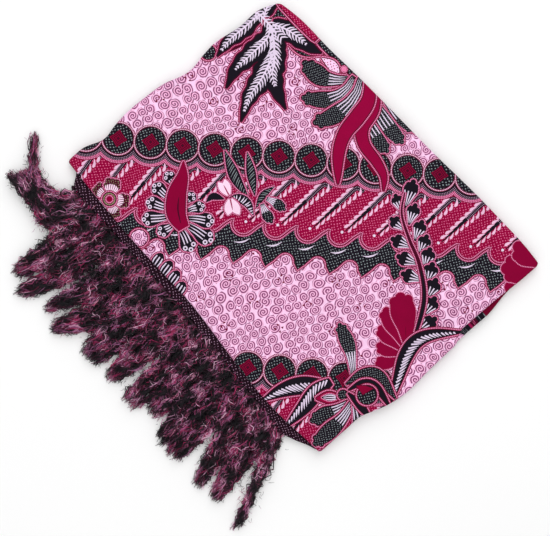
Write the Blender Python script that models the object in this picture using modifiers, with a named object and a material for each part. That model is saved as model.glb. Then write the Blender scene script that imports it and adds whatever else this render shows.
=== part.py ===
"""A batik sarong folded into a flat stack, with its fringed ends together on one side.

The stack lies on the ground plane. +Z is up, -X is the side with the fringe, +X the side with
the last folds, +Y the back and -Y the front. The origin is the centre of the flat underside.
Lengths below are in millimetres and are turned into metres when a mesh is made.
"""

import math

import bmesh
import bpy
import numpy as np

MM = 0.001

# The folded stack
STACK_HEIGHT = 13.2  # to the top face, at the middle of the stack
EDGE_DROP = 1.2  # how much lower the top face lies near the middle of each side
HALF_ACROSS = 143.0
HALF_ALONG = 192.0
CREASE_FADE = 25.0  # width of the flat margin on the fringe side
CELLS_ACROSS = 22
CELLS_ALONG = 28

# The top panel, which turns down over the edge of the stack
WALL = 1.2
TURN_RADIUS = 2.6
TURN_SWEEP = math.radians(128)
TURN_STEPS = 4
CORNER_REACH = 1.25  # how much further a corner is drawn in than a straight edge
GAP = 0.35  # between pieces that lie on each other
SEAM_GAP = 0.3  # between pieces that are sewn together

# The fold layers under it
LEAVES = 3
GROOVE = 1.4  # how far the grooves between leaves lie behind their edges
BOTTOM_INSET = 0.7
CORE_INSET = 2.25  # of the layers that the turned edge of the top panel goes round
FRONT_LEAF = 2  # the leaf that peeps out at the front
FRONT_LEAF_REACH = 6.5
FRONT_LEAF_FROM = 36.0
FRONT_LEAF_TO = 122.0
FRONT_LEAF_FADES = (12.0, 48.0)  # how slowly it comes out at its two ends
LEAF_EDGE_TOP = 0.7  # the thin edge of a leaf, as shares of the leaf's height
LEAF_EDGE_BOTTOM = 0.3

# The fringe
STRIP_WIDTH = 3.2
STRIP_HALF_HEIGHT = 0.85
LOCK_PITCH = 11.0
LOCK_SEGMENTS = 6
LOCK_HALF_WIDTH = 3.9
TIP_SPACING = 7.0
EARLY_LEAN = 0.4  # how much of its lean a lock takes on in step with its length
TURNED_SPREAD = 12.0
FLOOR_GAP = 0.15
TIER_GAP = 0.5
ROOT_SHARE = 0.75  # height of a lock's root, as a share of the strip's
TIP_SHARE = 0.5  # height of its tip, as a share of the tier's
REACH_FALL = 0.05  # how much shorter a lock is for each place away from its tuft's middle
REACH_CHANGE = 0.04  # how much shorter every second lock is
TWIST_TURNS = 2.4
TWIST_SHIFT = 0.45  # how far the ridge of a lock moves, as a share of its half width

# Columns: place along the side, distance of the edge from the middle of the stack
FRONT_EDGE = (
    (-139, -187), (-105, -186.5), (-82, -187), (-72, -190.5), (-60, -194.5), (-42, -198),
    (0, -196.5), (24, -195.3), (36, -194.5), (48, -187.5), (58, -186.8), (80, -187), (104, -187.4),
    (118, -188.5), (150, -189),
)
BACK_EDGE = (
    (-138, 199.5), (-119, 199.5), (-93, 192), (-80, 195), (-70, 196.5), (-38, 197), (-12, 194.3),
    (6, 188.5), (16, 187.4), (34, 190.4), (52, 192), (66, 190), (80, 188), (106, 188), (127, 180),
)
FRINGE_EDGE = (
    (-187, -139), (-165, -141), (-140, -144), (-85, -145), (-30, -141), (10, -138.5),
    (60, -140), (110, -141), (150, -140), (199.5, -138),
)
FOLD_EDGE = (
    (-189, 151.5), (-165, 152.5), (-130, 151.4), (-100, 149.8), (-20, 143.2), (10, 141.6),
    (60, 138.6), (110, 134.4), (160, 131), (180, 127),
)

# Columns: place along the fringe side, how far the hem leaves stick out
HEM_REACH = (
    (-186.5, 0), (-174, 2.5), (-160, 8), (-146, 10.5), (-60, 8), (0, 10), (110, 9.5),
    (165, 12), (177, 11.5), (186, 0.8), (199, 0),
)

# Columns: from x and y, to x and y, half width, rise of the top face
CREASES = (
    (-108, 190, -30, 181, 9, 1.5),
    (-34, 192, 22, 150, 13, -1.3),
    (64, 196, 30, 120, 15, 1.3),
    (-140, 12, -70, 34, 12, -1.3),
    (-136, 70, -70, 96, 14, 1.0),
    (-50, -184, 44, -181, 6, -1.4),
    (-30, -172, 30, -166, 9, 0.9),
    (150, -20, 70, 30, 18, 1.2),
    (134, 120, 70, 70, 14, -1.1),
    (-132, -128, -50, -168, 13, 1.2),
    (66, -190, 104, -120, 13, 1.2),
    (150, -130, 96, -96, 12, -1.0),
    (-24, 70, 26, -70, 26, 0.9),
    (-96, -20, -60, -110, 22, -0.8),
)

# The tufts that the locks gather into. Columns: first and last root along the hem, place of the
# tips along the hem, reach from the hem
TUFTS = (
    (-149, -138, -187, 100),
    (-138, -117, -151, 99),
    (-117, -95, -126, 100),
    (-95, -73, -90, 103),
    (-73, -51, -68, 102),
    (-51, -31, -46, 90),
    (-31, -8, -22, 101),
    (-8, 18, 8, 97),
    (18, 50, 40, 103),
    (50, 79, 80, 108),
    (79, 101, 105, 99),
    (101, 125, 131, 112),
    (125, 147, 153, 103),
)

# Locks that turn towards the back. Columns: root along the hem, x and y that the lock heads for,
# x and y of its tip
TURNED_LOCKS = (
    (153, -213, 160, -194, 225),
    (164, -192, 172, -178, 226),
    (175, -178, 188, -156, 227),
)

# The tiers. Columns: name, share of the reach, place of a root in its share of the hem, twist
TIERS = (
    ("fringe_lower", 1.0, 0.5, 0.0),
    ("fringe_middle", 0.96, 0.16, 2.1),
    ("fringe_upper", 0.92, 0.84, 4.2),
)

# How wide a lock is. Columns: share of its length, share of its full width
LOCK_WIDTH = ((0, 0.7), (0.16, 1.0), (0.6, 0.9), (0.86, 0.6), (1, 0.26))

# How high one tier of the fringe is. Columns: x, height
TIER_HEIGHT = ((-265, 2.3), (-230, 3.2), (-195, 4.0), (-168, 3.8), (-158, 2.7), (-140, 2.5))


def through(rows, where):
    """Reads a smooth curve through (along, out) rows at each place in `where`."""
    along, out = np.array(sorted(rows), float).T
    slope = np.gradient(out, along)
    where = np.clip(where, along[0], along[-1])
    at = np.clip(np.searchsorted(along, where) - 1, 0, len(along) - 2)
    step = along[at + 1] - along[at]
    t = (where - along[at]) / step
    start = (1 + 2 * t) * (1 - t) ** 2 * out[at] + t * (1 - t) ** 2 * step * slope[at]
    end = t**2 * (3 - 2 * t) * out[at + 1] + t**2 * (t - 1) * step * slope[at + 1]
    return start + end


def between(rows, where):
    """Reads straight lines between two-column rows at each place in `where`."""
    along, out = np.array(rows).T
    return np.interp(where, along, out)


def ease(t):
    """0 to 1 with level ends."""
    t = np.clip(t, 0, 1)
    return t * t * (3 - 2 * t)


def top_height(x, y):
    """Height of the top panel's outer face over a place on the stack."""
    crown = (np.abs(x) / HALF_ACROSS) ** 4 + (np.abs(y) / HALF_ALONG) ** 4
    rise = np.zeros_like(x)
    for x0, y0, x1, y1, half_width, height in CREASES:
        run = np.array((x1 - x0, y1 - y0), float)
        t = np.clip(((x - x0) * run[0] + (y - y0) * run[1]) / (run @ run), 0, 1)
        away = np.hypot(x - x0 - t * run[0], y - y0 - t * run[1])
        rise += height * np.exp(-((away / half_width) ** 2))
    fringe_side = through(FRINGE_EDGE, y)
    return STACK_HEIGHT - EDGE_DROP * crown + rise * ease((x - fringe_side) / CREASE_FADE)


def outline():
    """The stack's edge seen from above, counter-clockwise from the front corner at the fringe."""
    across = np.linspace(0, 1, CELLS_ACROSS + 1)
    along = np.linspace(0, 1, CELLS_ALONG + 1)
    sides = []
    for rows, steps, flipped in (
        (FRONT_EDGE, across, False),
        (FOLD_EDGE, along, True),
        (BACK_EDGE, across[::-1], False),
        (FRINGE_EDGE, along[::-1], True),
    ):
        places = rows[0][0] + (rows[-1][0] - rows[0][0]) * steps[:-1]
        out = through(rows, places)
        sides.append(np.stack((out, places) if flipped else (places, out), axis=1))
    return np.concatenate(sides)


def outward(ring):
    """Unit vectors that point out of a closed counter-clockwise ring, longer at its corners."""
    run = np.roll(ring, -1, axis=0) - np.roll(ring, 1, axis=0)
    normal = np.stack((run[:, 1], -run[:, 0]), axis=1)
    normal /= np.linalg.norm(normal, axis=1)[:, None]
    corners = (0, CELLS_ACROSS, CELLS_ACROSS + CELLS_ALONG, 2 * CELLS_ACROSS + CELLS_ALONG)
    normal[list(corners)] *= CORNER_REACH
    return normal


def patch(ring):
    """A grid of points that spans a closed ring: (along, across, 2)."""
    m, n = CELLS_ACROSS, CELLS_ALONG
    closed = np.concatenate((ring, ring[:1]))
    front = closed[: m + 1]
    fold = closed[m : m + n + 1]
    back = closed[m + n : 2 * m + n + 1][::-1]
    fringe = closed[2 * m + n :][::-1]
    u = np.linspace(0, 1, m + 1)[None, :, None]
    v = np.linspace(0, 1, n + 1)[:, None, None]
    between_ends = (1 - v) * front[None] + v * back[None]
    between_sides = (1 - u) * fringe[:, None] + u * fold[:, None]
    corners = (1 - v) * ((1 - u) * front[0] + u * front[-1])
    corners = corners + v * ((1 - u) * back[0] + u * back[-1])
    return between_ends + between_sides - corners


def ring_index():
    """Where the points of the ring lie in the patch, as (row, column), in the ring's order."""
    m, n = CELLS_ACROSS, CELLS_ALONG
    front = [(0, i) for i in range(m)]
    fold = [(j, m) for j in range(n)]
    back = [(n, m - i) for i in range(m)]
    fringe = [(n - j, 0) for j in range(n)]
    return front + fold + back + fringe


def add_patch(shape, points):
    """Adds the patch to a bmesh as quads that face up, and returns the vertices of its ring."""
    rows, columns = points.shape[:2]
    grid = [[shape.verts.new(points[j, i] * MM) for i in range(columns)] for j in range(rows)]
    for j in range(rows - 1):
        for i in range(columns - 1):
            corners = (grid[j][i], grid[j][i + 1], grid[j + 1][i + 1], grid[j + 1][i])
            shape.faces.new(corners)
    return [grid[j][i] for j, i in ring_index()]


def add_ring(shape, above, points):
    """Adds a closed ring of points below the ring `above`, joined to it by quads facing out."""
    ring = [shape.verts.new(point * MM) for point in points]
    for i in range(len(ring)):
        j = (i + 1) % len(ring)
        shape.faces.new((above[i], ring[i], ring[j], above[j]))
    return ring


def lifted(flat, height):
    """Points in the plane with a height each."""
    return np.concatenate((flat, np.broadcast_to(height, flat.shape[:-1])[..., None]), axis=-1)


def material(name, colour, roughness):
    made = bpy.data.materials.new(name)
    made.use_nodes = True
    shader = made.node_tree.nodes["Principled BSDF"]
    shader.inputs["Base Color"].default_value = (*colour, 1)
    shader.inputs["Roughness"].default_value = roughness
    shader.inputs["Metallic"].default_value = 0
    return made


def object_from(shape, name, collection):
    """Turns a bmesh into an object of the collection."""
    mesh = bpy.data.meshes.new(name)
    shape.to_mesh(mesh)
    shape.free()
    made = bpy.data.objects.new(name, mesh)
    collection.objects.link(made)
    return made


def top_panel(collection):
    """The uppermost layer: a wall over the stack that turns down round its edge."""
    edge = outline()
    normal = outward(edge)
    inset = edge - TURN_RADIUS * normal
    points = patch(inset)
    shape = bmesh.new()
    ring = add_patch(shape, lifted(points, top_height(points[..., 0], points[..., 1])))
    height = top_height(inset[:, 0], inset[:, 1])
    for step in range(1, TURN_STEPS + 1):
        angle = TURN_SWEEP * step / TURN_STEPS
        out = inset + TURN_RADIUS * math.sin(angle) * normal
        ring = add_ring(shape, ring, lifted(out, height - TURN_RADIUS * (1 - math.cos(angle))))
    panel = object_from(shape, "top_panel", collection)
    wall = panel.modifiers.new("Cloth", "SOLIDIFY")
    wall.thickness = WALL * MM
    wall.offset = -1
    wall.use_even_offset = True
    wall.use_quality_normals = True
    panel.data.materials.append(material("batik_pink", (0.63, 0.28, 0.45), 0.8))
    panel.data.shade_smooth()
    return panel


def leaf_height(ring_height):
    """Height of one leaf of the stack's side, under the turned edge of the top panel."""
    turned_down = TURN_RADIUS * (1 - math.cos(TURN_SWEEP))
    return (ring_height - turned_down - GAP) / LEAVES


def leaf_reach(edge, leaf):
    """How far a leaf sticks out of the stack's side at each point of the edge."""
    first = 2 * CELLS_ACROSS + CELLS_ALONG
    reach = np.zeros(len(edge))
    reach[first:] = through(HEM_REACH, edge[first:, 1])
    if leaf == FRONT_LEAF:
        x = edge[: CELLS_ACROSS + 1, 0]
        from_start = (x - FRONT_LEAF_FROM) / FRONT_LEAF_FADES[0]
        from_end = (FRONT_LEAF_TO - x) / FRONT_LEAF_FADES[1]
        reach[: CELLS_ACROSS + 1] += FRONT_LEAF_REACH * ease(np.minimum(from_start, from_end))
    return reach


def hidden_layers(collection):
    """The fold layers under the top panel: one solid, flat below, with leaves at its edges."""
    edge = outline()
    normal = outward(edge)
    inset = edge - TURN_RADIUS * normal
    points = patch(inset)
    under_wall = top_height(points[..., 0], points[..., 1]) - WALL - GAP
    shape = bmesh.new()
    ring = add_patch(shape, lifted(points, under_wall))
    height = top_height(inset[:, 0], inset[:, 1])
    shoulder = TURN_RADIUS - CORE_INSET
    ring = add_ring(shape, ring, lifted(inset + shoulder * normal, height - TURN_RADIUS))
    leaf = leaf_height(height)
    for below_top in range(LEAVES):
        index = LEAVES - 1 - below_top
        reach = leaf_reach(edge, index)[:, None] * normal
        groove = edge - (GROOVE if below_top else CORE_INSET) * normal
        ring = add_ring(shape, ring, lifted(groove, leaf * (index + 1)))
        ring = add_ring(shape, ring, lifted(edge + reach, leaf * (index + LEAF_EDGE_TOP)))
        ring = add_ring(shape, ring, lifted(edge + reach, leaf * (index + LEAF_EDGE_BOTTOM)))
    bottom = edge - BOTTOM_INSET * normal
    ring = add_ring(shape, ring, lifted(bottom, 0.0))
    shape.faces.new(ring[::-1])
    stack = object_from(shape, "hidden_layers", collection)
    stack.data.materials.append(material("batik_dark", (0.16, 0.03, 0.07), 0.85))
    return stack


def hem_line():
    """The tips of the hem leaves: (y, x) columns, from the front to the back."""
    edge = outline()
    first = 2 * CELLS_ACROSS + CELLS_ALONG
    tips = edge + leaf_reach(edge, 0)[:, None] * outward(edge)
    tips = np.concatenate((tips[first:], tips[:1]))
    return tips[::-1, 1], tips[::-1, 0]


def add_tube(shape, sections):
    """Adds a closed four-sided tube through sections of four points each."""
    rings = [[shape.verts.new(corner * MM) for corner in section] for section in sections]
    for near, far in zip(rings, rings[1:]):
        for i in range(4):
            j = (i + 1) % 4
            shape.faces.new((near[i], near[j], far[j], far[i]))
    shape.faces.new(rings[0][::-1])
    shape.faces.new(rings[-1])


def locks_of(tier, reach_share, phase):
    """The middle lines of a tier's locks, as arrays of points in the plane."""
    hem_y, hem_x = hem_line()
    t = np.linspace(0, 1, LOCK_SEGMENTS + 1)
    lines = []
    for first, last, tip, reach in TUFTS:
        count = round((last - first) / LOCK_PITCH)
        for k in range(count):
            root = first + (last - first) * (k + phase) / count
            side = k + phase - count / 2
            shorter = REACH_FALL * abs(side) + REACH_CHANGE * ((k + tier) % 2)
            length = reach * reach_share * (1 - shorter)
            tip_y = tip + TIP_SPACING * side
            start = np.interp(root, hem_y, hem_x) - SEAM_GAP - STRIP_WIDTH / 2
            x = start - (length - SEAM_GAP - STRIP_WIDTH / 2) * t
            y = root + (tip_y - root) * (EARLY_LEAN * t + (1 - EARLY_LEAN) * t**2)
            lines.append(np.stack((x, y), axis=1))
    for root, over_x, over_y, tip_x, tip_y in TURNED_LOCKS:
        beside = TURNED_SPREAD * (0.5 - phase)
        start = np.array((np.interp(root, hem_y, hem_x) - SEAM_GAP - STRIP_WIDTH / 2, root))
        over = np.array((over_x + beside, over_y))
        tip = np.array((tip_x + beside, tip_y * reach_share + over_y * (1 - reach_share)))
        s = t[:, None]
        lines.append((1 - s) ** 2 * start + 2 * s * (1 - s) * over + s**2 * tip)
    return lines


def strip_height(tier, y):
    """Height of the middle of a tier's strip at places along the hem."""
    inside = through(FRINGE_EDGE, y) + TURN_RADIUS
    return (tier + 0.5) * leaf_height(top_height(inside, y))


def lock_sections(line, tier, twist):
    """Four corners at each point of a lock: its two sides, its ridge and its underside."""
    run = np.gradient(line, axis=0)
    run /= np.linalg.norm(run, axis=1)[:, None]
    side = np.stack((-run[:, 1], run[:, 0]), axis=1)
    t = np.linspace(0, 1, len(line))
    width = LOCK_HALF_WIDTH * between(LOCK_WIDTH, t)
    band = between(TIER_HEIGHT, line[:, 0])
    middle = FLOOR_GAP + band * (tier + 0.5)
    middle[0] = strip_height(tier, line[0, 1])
    half = band / 2 - TIER_GAP / 2
    half[0] = ROOT_SHARE * STRIP_HALF_HEIGHT
    half[-1] *= TIP_SHARE
    turned = 2 * math.pi * TWIST_TURNS * t + twist
    shift = (TWIST_SHIFT * width * np.sin(turned))[:, None] * side
    wide = width[:, None] * side
    corners = (
        lifted(line - wide, middle),
        lifted(line - shift, middle - half),
        lifted(line + wide, middle),
        lifted(line + shift, middle + half),
    )
    return np.stack(corners, axis=1)


def fringe(tier, name, reach_share, phase, twist, collection, helpers):
    """One tier: a narrow strip along the hem, and the locks that are rooted in it."""
    hem_y, hem_x = hem_line()
    first = TUFTS[0][0]
    last = TURNED_LOCKS[-1][0] + LOCK_HALF_WIDTH
    places = np.append(hem_y[(hem_y > first) & (hem_y < last)], (first, last))
    places.sort()
    inner = np.interp(places, hem_y, hem_x) - SEAM_GAP
    shape = bmesh.new()
    sections = []
    for x, y, z in zip(inner, places, strip_height(tier, places)):
        low, high = z - STRIP_HALF_HEIGHT, z + STRIP_HALF_HEIGHT
        outer = x - STRIP_WIDTH
        sections.append(np.array(((x, y, low), (outer, y, low), (outer, y, high), (x, y, high))))
    add_tube(shape, sections)
    strip = object_from(shape, name, collection)
    shape = bmesh.new()
    for index, line in enumerate(locks_of(tier, reach_share, phase)):
        add_tube(shape, lock_sections(line, tier, twist + index))
    locks = object_from(shape, name + "_locks", helpers)
    locks.hide_render = True
    locks.display_type = "WIRE"
    join = strip.modifiers.new("Locks", "BOOLEAN")
    join.operation = "UNION"
    join.solver = "EXACT"
    join.object = locks
    strip.data.materials.append(material(name + "_yarn", (0.07, 0.02, 0.045), 0.9))
    return strip


def main():
    for old in list(bpy.data.objects):
        bpy.data.objects.remove(old)
    sarong = bpy.data.collections.new("batik_sarong")
    helpers = bpy.data.collections.new("lock_helpers")
    bpy.context.scene.collection.children.link(sarong)
    bpy.context.scene.collection.children.link(helpers)
    top_panel(sarong)
    hidden_layers(sarong)
    for tier, (name, reach_share, phase, twist) in enumerate(TIERS):
        fringe(tier, name, reach_share, phase, twist, sarong, helpers)


main()
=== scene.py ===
import math
from collections import namedtuple

import bpy
import numpy as np
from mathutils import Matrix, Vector
from mathutils.geometry import delaunay_2d_cdt


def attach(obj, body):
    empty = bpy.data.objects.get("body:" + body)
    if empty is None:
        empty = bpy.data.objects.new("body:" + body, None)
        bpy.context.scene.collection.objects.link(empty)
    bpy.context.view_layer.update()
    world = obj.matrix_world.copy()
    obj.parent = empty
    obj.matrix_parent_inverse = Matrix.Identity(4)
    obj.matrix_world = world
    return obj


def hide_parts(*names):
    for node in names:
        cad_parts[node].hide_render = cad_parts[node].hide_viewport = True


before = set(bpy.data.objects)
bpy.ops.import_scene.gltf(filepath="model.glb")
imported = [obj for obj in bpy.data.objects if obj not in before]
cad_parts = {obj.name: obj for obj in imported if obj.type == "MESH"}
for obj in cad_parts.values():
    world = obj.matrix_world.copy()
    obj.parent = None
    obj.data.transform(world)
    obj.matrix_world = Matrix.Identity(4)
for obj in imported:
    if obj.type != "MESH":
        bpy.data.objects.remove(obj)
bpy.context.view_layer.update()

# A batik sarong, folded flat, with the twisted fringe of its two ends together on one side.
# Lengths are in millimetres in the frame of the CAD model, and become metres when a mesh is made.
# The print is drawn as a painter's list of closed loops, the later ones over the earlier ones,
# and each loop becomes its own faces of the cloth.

MM = 0.001
random = np.random.default_rng(11)

# ---------------------------------------------------------------- sizes of the folded stack

STACK_HEIGHT = 13.2
EDGE_DROP = 1.2
HALF_ACROSS = 143.0
HALF_ALONG = 192.0
CREASE_FADE = 25.0
TURN_RADIUS = 2.6
TURN_SWEEP = math.radians(128)
TURN_DROP = TURN_RADIUS * (1 - math.cos(TURN_SWEEP))  # from the top face to its turned edge
CLOTH = 0.45  # thickness of the printed cloth
LEAVES = 3
FOLDS = 6  # folds of cloth that show at the sides
FOLD_DEPTH = 3.4
FOLD_TURN = (-90, -62, -30, 0, 30, 62, 90)
FOLD_ROUNDNESS = 0.93  # less than 1 leaves a line of shade between two folds
FOLD_FLOOR = 0.15
FOLD_SHIFT = 11.0  # from one fold's place on the print to the next one's
FOLD_STEP = 0.7  # the same from row to row of a fold
FRONT_LEAF_REACH = 6.5
FRONT_LEAF_FROM = 36.0
FRONT_LEAF_TO = 122.0
FRONT_LEAF_FADES = (12.0, 48.0)  # how slowly it comes out at its two ends

# Columns: place along the side, distance of the edge from the middle of the stack
FRONT_EDGE = (
    (-139, -187), (-105, -186.5), (-82, -187), (-72, -190.5), (-60, -194.5), (-42, -198),
    (0, -196.5), (24, -195.3), (36, -194.5), (48, -187.5), (58, -186.8), (80, -187), (104, -187.4),
    (118, -188.5), (150, -189),
)
BACK_EDGE = (
    (-138, 199.5), (-119, 199.5), (-93, 192), (-80, 195), (-70, 196.5), (-38, 197), (-12, 194.3),
    (6, 188.5), (16, 187.4), (34, 190.4), (52, 192), (66, 190), (80, 188), (106, 188), (127, 180),
)
FRINGE_EDGE = (
    (-187, -139), (-165, -141), (-140, -144), (-85, -145), (-30, -141), (10, -138.5),
    (60, -140), (110, -141), (150, -140), (199.5, -138),
)
FOLD_EDGE = (
    (-189, 151.5), (-165, 152.5), (-130, 151.4), (-100, 149.8), (-20, 143.2), (10, 141.6),
    (60, 138.6), (110, 134.4), (160, 131), (180, 127),
)

# Columns: place along the fringe side, how far the hem leaves stick out
HEM_REACH = (
    (-186.5, 0), (-174, 3.5), (-160, 9.5), (-146, 12.5), (-132, 10), (-60, 8), (0, 10), (110, 9.5),
    (165, 12), (177, 11.5), (186, 0.8), (199, 0),
)

HEM_HALF = 0.55  # half the thickness of a hem leaf
HEM_TUCK = 4.0  # how far it starts inside the stack
# Columns: share of the way to the tip, share of the half thickness
HEM_PROFILE = (
    (0, 0.9), (0.45, 1.0), (0.7, 0.9), (0.78, 0.6), (0.86, 1.0), (0.95, 0.85), (1, 0), (0.95, -0.85),
    (0.7, -1.0), (0, -0.9),
)

# The folds that the CAD model has too. Columns: from x and y, to x and y, half width, rise
CREASES = (
    (-108, 190, -30, 181, 9, 1.5),
    (-34, 192, 22, 150, 13, -1.3),
    (64, 196, 30, 120, 15, 1.3),
    (-140, 12, -70, 34, 12, -1.3),
    (-136, 70, -70, 96, 14, 1.0),
    (-50, -184, 44, -181, 6, -1.4),
    (-30, -172, 30, -166, 9, 0.9),
    (150, -20, 70, 30, 18, 1.2),
    (134, 120, 70, 70, 14, -1.1),
    (-132, -128, -50, -168, 13, 1.2),
    (66, -190, 104, -120, 13, 1.2),
    (150, -130, 96, -96, 12, -1.0),
    (-24, 70, 26, -70, 26, 0.9),
    (-96, -20, -60, -110, 22, -0.8),
)

# Finer creases, given one by one. Columns as above
WRINKLES = (
    (-126, 180, -98, 160, 3.0, -0.35),
    (-112, 192, -84, 170, 3.6, 0.4),
    (-60, 190, -48, 158, 4.0, 0.3),
    (-14, 186, 6, 168, 3.2, -0.3),
    (40, 184, 52, 150, 4.2, -0.4),
    (92, 186, 74, 158, 3.4, 0.3),
    (122, 172, 104, 132, 4.4, -0.35),
    (132, 150, 112, 146, 2.6, 0.35),
    (134, 92, 104, 84, 3.0, 0.35),
    (138, 44, 112, 58, 3.4, -0.3),
    (140, 4, 116, 10, 2.8, 0.35),
    (146, -62, 118, -40, 4.0, 0.35),
    (148, -108, 126, -118, 2.8, -0.3),
    (120, -184, 112, -160, 3.2, -0.4),
    (146, -178, 132, -150, 3.8, 0.35),
    (20, -190, 12, -168, 3.4, -0.35),
    (-26, -192, -18, -160, 4.2, 0.4),
    (-70, -186, -78, -160, 3.4, -0.4),
    (-104, -184, -98, -150, 4.4, 0.35),
    (-136, -160, -112, -150, 3.0, -0.45),
    (-142, -120, -116, -104, 3.4, 0.4),
    (-142, -84, -124, -66, 3.0, -0.3),
    (-140, -30, -112, -36, 3.6, 0.35),
    (-136, 34, -120, 44, 2.6, 0.3),
    (-138, 96, -118, 84, 3.4, -0.35),
    (-138, 128, -112, 136, 3.0, 0.35),
    (-60, -60, -34, -40, 9.0, 0.3),
    (10, -30, 44, -64, 8.0, -0.3),
    (30, 60, 74, 44, 9.0, 0.3),
    (-90, 60, -60, 20, 8.0, 0.35),
)

# Creases of the flat underside, pressed up. Columns as above
UNDER_CREASES = (
    (-120, 150, -20, 168, 9, 0.5),
    (-60, -170, 10, -120, 8, 0.45),
    (40, 170, 90, 60, 11, 0.55),
    (-130, -20, -60, 10, 8, 0.4),
    (110, -150, 60, -60, 10, 0.5),
    (-90, 90, -40, 40, 6, 0.35),
    (10, 40, 30, -30, 7, 0.35),
    (120, 20, 134, -80, 6, 0.4),
)


def through(rows, where):
    """Reads a smooth curve through (along, out) rows at each place in `where`."""
    along, out = np.array(sorted(rows), float).T
    slope = np.gradient(out, along)
    where = np.clip(where, along[0], along[-1])
    at = np.clip(np.searchsorted(along, where) - 1, 0, len(along) - 2)
    step = along[at + 1] - along[at]
    t = (where - along[at]) / step
    start = (1 + 2 * t) * (1 - t) ** 2 * out[at] + t * (1 - t) ** 2 * step * slope[at]
    end = t**2 * (3 - 2 * t) * out[at + 1] + t**2 * (t - 1) * step * slope[at + 1]
    return start + end


def between(rows, where):
    """Reads straight lines between two-column rows at each place in `where`."""
    along, out = np.array(rows, float).T
    return np.interp(where, along, out)


def ease(t):
    """0 to 1 with level ends."""
    t = np.clip(t, 0, 1)
    return t * t * (3 - 2 * t)


def unit(vectors):
    return vectors / np.maximum(np.linalg.norm(vectors, axis=-1, keepdims=True), 1e-9)


def rise_of(rows, x, y):
    """Sum of the creases of a table at a place on the stack."""
    rise = np.zeros_like(x)
    for x0, y0, x1, y1, half_width, height in rows:
        run = np.array((x1 - x0, y1 - y0), float)
        t = np.clip(((x - x0) * run[0] + (y - y0) * run[1]) / (run @ run), 0, 1)
        away = np.hypot(x - x0 - t * run[0], y - y0 - t * run[1])
        rise += height * np.exp(-((away / half_width) ** 2))
    return rise


def top_height(x, y, creases=CREASES):
    """Height of the top face over a place on the stack."""
    crown = (np.abs(x) / HALF_ACROSS) ** 4 + (np.abs(y) / HALF_ALONG) ** 4
    fade = ease((x - through(FRINGE_EDGE, y)) / CREASE_FADE)
    return STACK_HEIGHT - EDGE_DROP * crown + rise_of(creases, x, y) * fade


def under_height(x, y):
    """Height of the underside, which is flat but for a few pressed creases."""
    return rise_of(UNDER_CREASES, x, y)


# ---------------------------------------------------------------- plane shapes


def arc(centre, radius, start, end, count=12):
    """Points on an arc; start and end in degrees."""
    turn = np.radians(np.linspace(start, end, count))
    return np.array(centre, float) + radius * np.stack((np.cos(turn), np.sin(turn)), axis=1)


def disc(centre, radius):
    count = int(np.clip(3.2 * radius, 7, 27))
    return arc(centre, radius, 0, 360, count + 1)[:-1]


def bumps(line, half_width, size, lead=0.1):
    """Three discs at a petal's end, the middle one ahead of the others."""
    run, side = unit(line[-1] - line[-2]), left_of(line)[-1]
    places = ((-0.56, -0.4, 0.9), (0.56, -0.4, 0.9), (0, lead, 1))
    return [
        disc(line[-1] + half_width * (out * side + ahead * run), half_width * size * share)
        for out, ahead, share in places
    ]


def curve(points, step=3.4):
    """A smooth line through a few points."""
    p = np.array(points, float)
    p = np.vstack((2 * p[0] - p[1], p, 2 * p[-1] - p[-2]))
    pieces = []
    for a, b, c, d in zip(p, p[1:], p[2:], p[3:]):
        count = max(2, round(np.linalg.norm(c - b) / step))
        t = np.arange(count)[:, None] / count
        bends = (2 * a - 5 * b + 4 * c - d) * t**2 + (3 * b - a - 3 * c + d) * t**3
        pieces.append(0.5 * (2 * b + (c - a) * t + bends))
    return np.vstack((*pieces, p[-2]))


def left_of(line):
    """Unit vectors to the left of a line's run."""
    run = unit(np.gradient(line, axis=0))
    return np.stack((-run[:, 1], run[:, 0]), axis=1)


def steps_of(line):
    return np.linalg.norm(np.diff(line, axis=0), axis=1)


def shares(line):
    """How far along the line each of its points is, from 0 to 1."""
    steps = steps_of(line)
    return np.append(0, np.cumsum(steps)) / steps.sum()


def run_of(spine):
    """A fine curve: its points, their shares of its length, its length, what is left of it and ahead."""
    line = curve(spine, 1.2)
    return line, shares(line), steps_of(line).sum(), left_of(line), unit(np.gradient(line, axis=0))


def ribbon(line, profile, half_width=1.0, ripple=0.0):
    """A closed loop round a line. profile: (share of the length, share of the half width)."""
    share = shares(line)
    waves = 1 + ripple * np.sin(2 * math.pi * share * steps_of(line).sum() / RIPPLE_LENGTH)
    half = np.maximum(half_width * through(profile, share) * waves, 0.12)
    side = left_of(line) * half[:, None]
    return np.vstack((line - side, (line + side)[::-1]))


def grown(loop, by):
    """A counter-clockwise loop, moved out by a distance."""
    run = unit(np.roll(loop, -1, axis=0) - np.roll(loop, 1, axis=0))
    return loop + by * np.stack((run[:, 1], -run[:, 0]), axis=1)


def winding(loop, points):
    """How many times a loop goes round each point. Each edge meets only points of its own height."""
    ends = np.roll(loop, -1, axis=0)
    order = np.argsort(points[:, 1], kind="stable")
    x, y = points[order].T
    firsts = np.searchsorted(y, np.minimum(loop[:, 1], ends[:, 1]))
    lasts = np.searchsorted(y, np.maximum(loop[:, 1], ends[:, 1]))
    count = np.zeros(len(points), int)
    for i in np.nonzero(lasts > firsts)[0]:
        some = slice(firsts[i], lasts[i])
        (ax, ay), (bx, by) = loop[i], ends[i]
        left = (bx - ax) * (y[some] - ay) - (x[some] - ax) * (by - ay)
        count[some] += (left > 0) if by > ay else -(left < 0).astype(int)
    result = np.empty(len(points), int)
    result[order] = count
    return result


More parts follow.
